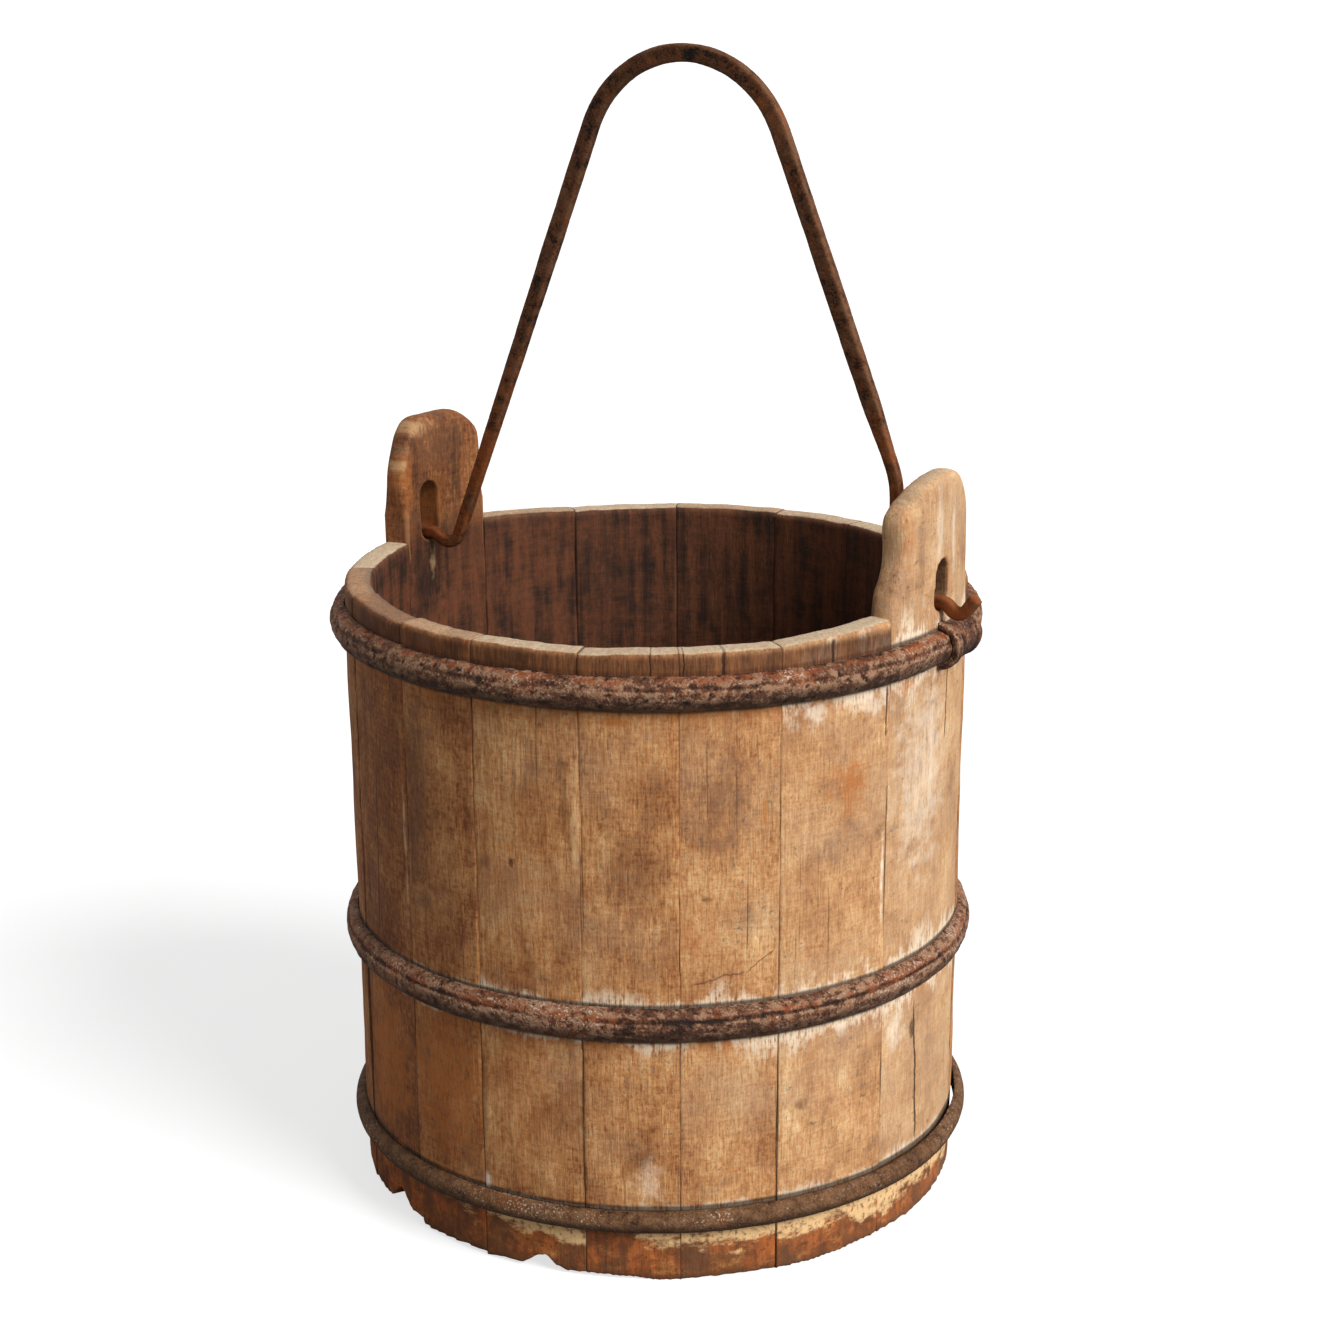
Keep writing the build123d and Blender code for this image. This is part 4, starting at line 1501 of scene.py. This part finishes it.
@dataclass
class EarStave(Stave):
    """A tall stave with a round crown and a slot for the bail."""

    slot_width: float = 15.5 * MM
    slot_bottom: float = RIM_HEIGHT - 3.5 * MM
    setback: float = 4 * MM
    reach: float = 60 * MM
    rounding: int = 80
    soft_rise: float = 16 * MM
    slot_spared: float = 1.5 * MM
    slot_fade: float = 7 * MM
    levels: int = 10

    @property
    def form(self) -> EarForm:
        """Form of this ear."""
        return EARS[self.node]

    def _outline(self) -> Piece:
        """Make a block with the ear's outline, square to the ear.

        Returns:
            The block.
        """
        curve = bpy.data.curves.new("ear_outline", "CURVE")
        curve.dimensions = "2D"
        curve.fill_mode = "BOTH"
        curve.extrude = self.reach
        spline = curve.splines.new("NURBS")
        spline.points.add(len(self.form.outline) - 1)
        for point, (side, height) in zip(spline.points, self.form.outline):
            point.co = (side * MM, height * MM, 0, 1)
        spline.use_cyclic_u = True
        spline.order_u = 3
        spline.resolution_u = 6
        block = bpy.data.objects.new("ear_outline", curve)
        bpy.context.scene.collection.objects.link(block)
        activate(block)
        bpy.ops.object.convert(target="MESH")
        block = bpy.context.object
        out_x, out_y = cos(self.middle), sin(self.middle)
        axes = Matrix(((-out_y, 0, out_x), (out_x, 0, out_y), (0, 1, 0)))
        centre = (out_x * MIDDLE_RADIUS, out_y * MIDDLE_RADIUS, 0)
        block.matrix_world = Matrix.Translation(centre) @ axes.to_4x4()
        apply_place(block)
        clean(block)
        return block

    def _slot(self) -> Piece:
        """Make a round-ended bar that cuts the slot.

        Returns:
            The bar.
        """
        side = 1 if cos(self.middle) > 0 else -1
        middle = self.slot_bottom + self.slot_width / 2
        clear_selection()
        bpy.ops.mesh.primitive_circle_add(
            vertices=32, radius=self.slot_width / 2, fill_type="NGON", rotation=(0, pi / 2, 0),
            location=(side * (MIDDLE_RADIUS - self.reach), self.setback, middle))
        bar = bpy.context.object
        apply_place(bar)
        pick(bar, lambda place: place.z > middle + 0.1 * MM)
        with editing(bar, everything=False):
            bpy.ops.transform.translate(value=(0, 0, self.form.slot_length * MM - self.slot_width))
        through = (side * 2 * self.reach, 0, 0)
        with editing(bar):
            bpy.ops.mesh.extrude_region_move(TRANSFORM_OT_translate={"value": through})
        clean(bar)
        return bar

    def _shape(self, piece: Piece) -> None:
        """Cut the ear's outline and its slot."""
        carve(piece, self._outline(), "INTERSECT")
        carve(piece, self._slot(), "DIFFERENCE")

    def _soften(self, piece: Piece) -> None:
        """Round the ear above the rim by smoothing, and spare the edge of the slot.

        Args:
            piece: The ear's stave.
        """
        group = piece.vertex_groups.new(name="ear")
        places = np.empty(len(piece.data.vertices) * 3)
        piece.data.vertices.foreach_get("co", places)
        sides, heights = places.reshape(-1, 3)[:, 1:].T
        radius = self.slot_width / 2
        low, high = self.slot_bottom + radius, self.slot_bottom + self.form.slot_length * MM - radius
        from_slot = np.hypot(sides - self.setback, heights - heights.clip(low, high)) - radius
        risen = ((heights - RIM_HEIGHT - self.form.soft_from * MM) / self.soft_rise).clip(0, 1)
        share = risen * ((from_slot - self.slot_spared) / self.slot_fade).clip(0, 1)
        for level in range(1, self.levels + 1):
            rows = np.flatnonzero((share * self.levels).round() == level)
            group.add(rows.tolist(), level / self.levels, "REPLACE")
        modify(piece, "SMOOTH", factor=0.5, iterations=self.rounding, vertex_group="ear")
        piece.vertex_groups.clear()


@dataclass
class Bottom:
    """Boards that close the tub, set in the groove of the staves, and the pegs that hold the joints."""

    boards: int = 4
    voxel: float = 1.8 * MM
    saw_gap: float = 0.05 * MM
    coarseness: Coarseness = Coarseness(0.5, 0.4, 0.3)

    def _board(self, node: str) -> Piece:
        """Saw one board out of a round slab.

        Args:
            node: Name of the board's solid.

        Returns:
            The board.
        """
        low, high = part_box(node)
        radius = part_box("bottom_board_2")[1].x
        clear_selection()
        bpy.ops.mesh.primitive_cylinder_add(vertices=160, radius=radius, depth=high.z - low.z,
                                            location=(0, 0, (low.z + high.z) / 2))
        piece = bpy.context.object
        apply_place(piece)
        for edge, outward in ((low.y, -1), (high.y, 1)):
            with editing(piece):
                bpy.ops.mesh.bisect(plane_co=(0, edge - outward * self.saw_gap, 0),
                                    plane_no=(0, outward, 0), use_fill=True, clear_outer=True)
        clean(piece)
        return piece

    def build(self, finisher: Finisher) -> None:
        """Make the boards and dress the pegs, whose own solids show.

        Args:
            finisher: Maker of the materials.
        """
        for number in range(1, self.boards + 1):
            node = f"bottom_board_{number}"
            piece = self._board(node)
            remake(piece, self.voxel, 3)
            self.coarseness.press(piece, 0.4 * number, (0.12, 1.0, 1.0))
            settle(piece, node, Body.TUB, finisher.plank_wood(f"{node}_wood", 0.37 * number))
        for node in ("stave_pegs", "bottom_pegs"):
            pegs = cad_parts[node].data
            pegs.materials.clear()
            pegs.materials.append(finisher.plank_wood(f"{node}_wood", 0.21))
            log.info("%s: dressed", node)


@dataclass
class Hoop:
    """A half-round iron hoop, spun round the tub and roughened by rust.

    Its ridges and its slit stand at shares of its height from its middle.
    """

    node: str
    finish: IronFinish
    seed: float
    coarseness: Coarseness
    slit: float = 0.0
    ridges: tuple[float, ...] = ()
    start: float = 0.0
    arc: float = 2 * pi
    sides: int = 44
    steps: int = 760
    slit_share: float = 0.22

    def _section(self, proud: float, tall: float) -> Piece:
        """Flatten a disc into the half-round section, upright at the origin.

        Args:
            proud: How far it stands out from the tub.
            tall: Its height.

        Returns:
            The section.
        """
        clear_selection()
        bpy.ops.mesh.primitive_circle_add(vertices=self.sides, radius=1, fill_type="NGON",
                                          rotation=(pi / 2, 0, 0))
        piece = bpy.context.object
        piece.scale = (proud, tall / 2, 1)
        apply_place(piece)
        pick(piece, lambda place: place.x < 0)
        with editing(piece, everything=False):
            bpy.ops.transform.resize(value=(0, 1, 1), center_override=(0, 0, 0))
        return piece

    def build(self, finisher: Finisher) -> None:
        """Make the hoop and dress it.

        Args:
            finisher: Maker of the materials.
        """
        low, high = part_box(self.node)
        middle = (low + high) / 2
        places = corners(self.node)
        inside = float(np.hypot(places[:, 0] - middle.x, places[:, 1] - middle.y).min())
        tall, proud = high.z - low.z, (high.y - low.y) / 2 - inside
        whole = self.arc >= 2 * pi
        piece = self._section(proud, tall)
        piece.location = (inside, 0, middle.z)
        apply_place(piece)
        piece.rotation_euler.z = self.start
        apply_place(piece)
        if whole:
            with editing(piece):
                bpy.ops.mesh.delete(type="ONLY_FACE")
        with editing(piece):
            bpy.ops.mesh.spin(steps=self.steps, angle=-self.arc, center=(0, 0, 0), axis=(0, 0, 1))
        piece.location = (middle.x if whole else 0.0, 0, 0)
        apply_place(piece)
        clean(piece)
        slit_height = middle.z + self.slit_share * tall
        self.coarseness.press(piece, self.seed, (0.5, 0.5, 1.4), slit_height, self.slit)
        lines = tuple(middle.z + share * tall for share in self.ridges)
        iron = finisher.iron(f"{self.node}_iron", self.finish, lines)
        settle(piece, self.node, Body.TUB, iron)


@dataclass
class Smithwork:
    """A forged piece that keeps the form of its solid, with hammered faces and rusted edges."""

    node: str
    body: Body
    slot: Slot
    finish: IronFinish
    coarseness: Coarseness
    smoothing: int = 3
    seed: float = 0.53

    def build(self, finisher: Finisher) -> None:
        """Make the piece and dress it.

        Args:
            finisher: Maker of the materials.
        """
        piece = copy_node(self.node)
        remake(piece, IRON_VOXEL, self.smoothing)
        self.coarseness.press(piece, self.seed)
        settle(piece, self.node, self.body, finisher.iron(f"{self.node}_iron", self.finish))


@dataclass(frozen=True)
class Studio:
    """Pale floor, white surroundings, soft light and the camera, whose focal length is in pixels."""

    image: float = 1318.0
    focal: float = 2582.8257
    centre_row: float = 655.5048
    azimuth: float = radians(31.0)
    pitch: float = radians(15.871677)
    roll: float = radians(-0.3171683)
    place: tuple[float, float, float] = (0.00133649, -1.2457176, 0.6179663)
    sensor: float = 36.0
    sun_azimuth: float = radians(-8.0)
    sun_height: float = radians(36.0)
    sun_strength: float = 4.2
    sun_spread: float = radians(32.0)
    ambient: float = 0.3
    floor_reach: float = 60.0
    floor_seen: Colour = (0.42, 0.42, 0.42, 1)
    floor_glow: float = 0.7
    floor_dull: Colour = (0.35, 0.34, 0.33, 1)

    def build(self) -> None:
        """Set up the floor, the light, the camera and the view."""
        self._floor()
        self._world()
        self._sun()
        self._camera()
        bpy.context.scene.view_settings.view_transform = "Standard"

    def _floor(self) -> None:
        """Lay a floor that is white to the camera, keeps the shadow and throws back little light."""
        clear_selection()
        bpy.ops.mesh.primitive_circle_add(vertices=96, radius=self.floor_reach, fill_type="NGON")
        floor = bpy.context.object
        floor.name = "floor"
        material = bpy.data.materials.new("floor")
        material.use_nodes = True
        material.node_tree.nodes.clear()
        graph = Graph(material.node_tree)
        seen = graph.put("ShaderNodeLightPath").outputs["Is Camera Ray"]
        bright = graph.put("ShaderNodeBsdfDiffuse", Color=self.floor_seen).outputs[0]
        dull = graph.put("ShaderNodeBsdfDiffuse", Color=self.floor_dull).outputs[0]
        glow = graph.put("ShaderNodeEmission", Color=(1, 1, 1, 1), Strength=self.floor_glow).outputs[0]
        lit = graph.chain("ShaderNodeAddShader", {}, bright, glow).outputs[0]
        mixed = graph.chain("ShaderNodeMixShader", {}, seen, dull, lit).outputs[0]
        graph.put("ShaderNodeOutputMaterial", Surface=mixed)
        floor.data.materials.append(material)

    def _world(self) -> None:
        """Make the surroundings white to the camera and in reflections, and a weak soft light otherwise."""
        world = bpy.data.worlds.new("studio")
        world.use_nodes = True
        bpy.context.scene.world = world
        graph = Graph(world.node_tree)
        path = graph.put("ShaderNodeLightPath").outputs
        seen = graph.math("MAXIMUM", path["Is Camera Ray"],
                          graph.math("MAXIMUM", path["Is Glossy Ray"], path["Is Transmission Ray"]))
        background = world.node_tree.nodes["Background"]
        background.inputs["Color"].default_value = (1, 1, 1, 1)
        graph.feed(background.inputs["Strength"], graph.lerp(seen, self.ambient, 1.0))

    def _sun(self) -> None:
        """Hang a broad soft light on the side of the right ear."""
        lamp = bpy.data.lights.new("key", "SUN")
        lamp.energy = self.sun_strength
        lamp.angle = self.sun_spread
        key = bpy.data.objects.new("key", lamp)
        bpy.context.scene.collection.objects.link(key)
        level = cos(self.sun_height)
        towards = Vector((cos(self.sun_azimuth) * level, sin(self.sun_azimuth) * level,
                          sin(self.sun_height)))
        key.rotation_euler = towards.to_track_quat("Z", "Y").to_euler()

    def _camera(self) -> None:
        """Stand the camera where the photograph was taken."""
        forward = Vector((0, cos(self.pitch), -sin(self.pitch)))
        level = Vector((1, 0, 0))
        above = level.cross(forward)
        right = cos(self.roll) * level + sin(self.roll) * above
        up = -sin(self.roll) * level + cos(self.roll) * above
        turn = Matrix.Rotation(self.azimuth, 3, "Z")
        axes = Matrix((turn @ right, turn @ up, turn @ -forward)).transposed()
        lens = bpy.data.cameras.new("camera")
        lens.sensor_width = self.sensor
        lens.lens = self.sensor * self.focal / self.image
        lens.shift_y = (self.centre_row - self.image / 2) / self.image
        camera = bpy.data.objects.new("camera", lens)
        bpy.context.scene.collection.objects.link(camera)
        camera.matrix_world = Matrix.Translation(turn @ Vector(self.place)) @ axes.to_4x4()
        bpy.context.scene.camera = camera


def main() -> None:
    """Build the looks of every piece, then the studio."""
    logging.basicConfig(level=logging.INFO, format="%(name)s %(message)s")
    make_relief()
    StaveWear().make()
    make_forging()
    finisher = Finisher()
    staves = [node for node in sorted(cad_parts) if "_stave" in node and "pegs" not in node]
    for number, node in enumerate(staves, 1):
        kind = EarStave if "ear" in node else Stave
        kind(node, number).build(finisher)
    Bottom().build(finisher)
    Hoop("top_hoop", HOOP_IRON, 0.3, Coarseness(1.6, 2.0, 0.8), 0.45, (0.42,), radians(6.2),
         radians(359.6)).build(finisher)
    Hoop("middle_hoop", HOOP_IRON, 0.9, Coarseness(1.3, 1.5, 0.6), 0.75, (0.3, -0.42)).build(finisher)
    Hoop("bottom_hoop", LOWER_HOOP_IRON, 1.7, Coarseness(0.8, 0.5, 0.15), sides=36).build(finisher)
    Smithwork("hoop_clip", Body.TUB, Slot.HOOP, HOOP_IRON, Coarseness(0.8, 1.0, 0.4)).build(finisher)
    Smithwork("bail", Body.BAIL, Slot.BAIL, BAIL_IRON, Coarseness(0.7, 0.35, 0.1)).build(finisher)
    Studio().build()


if __name__ == "__main__":
    main()
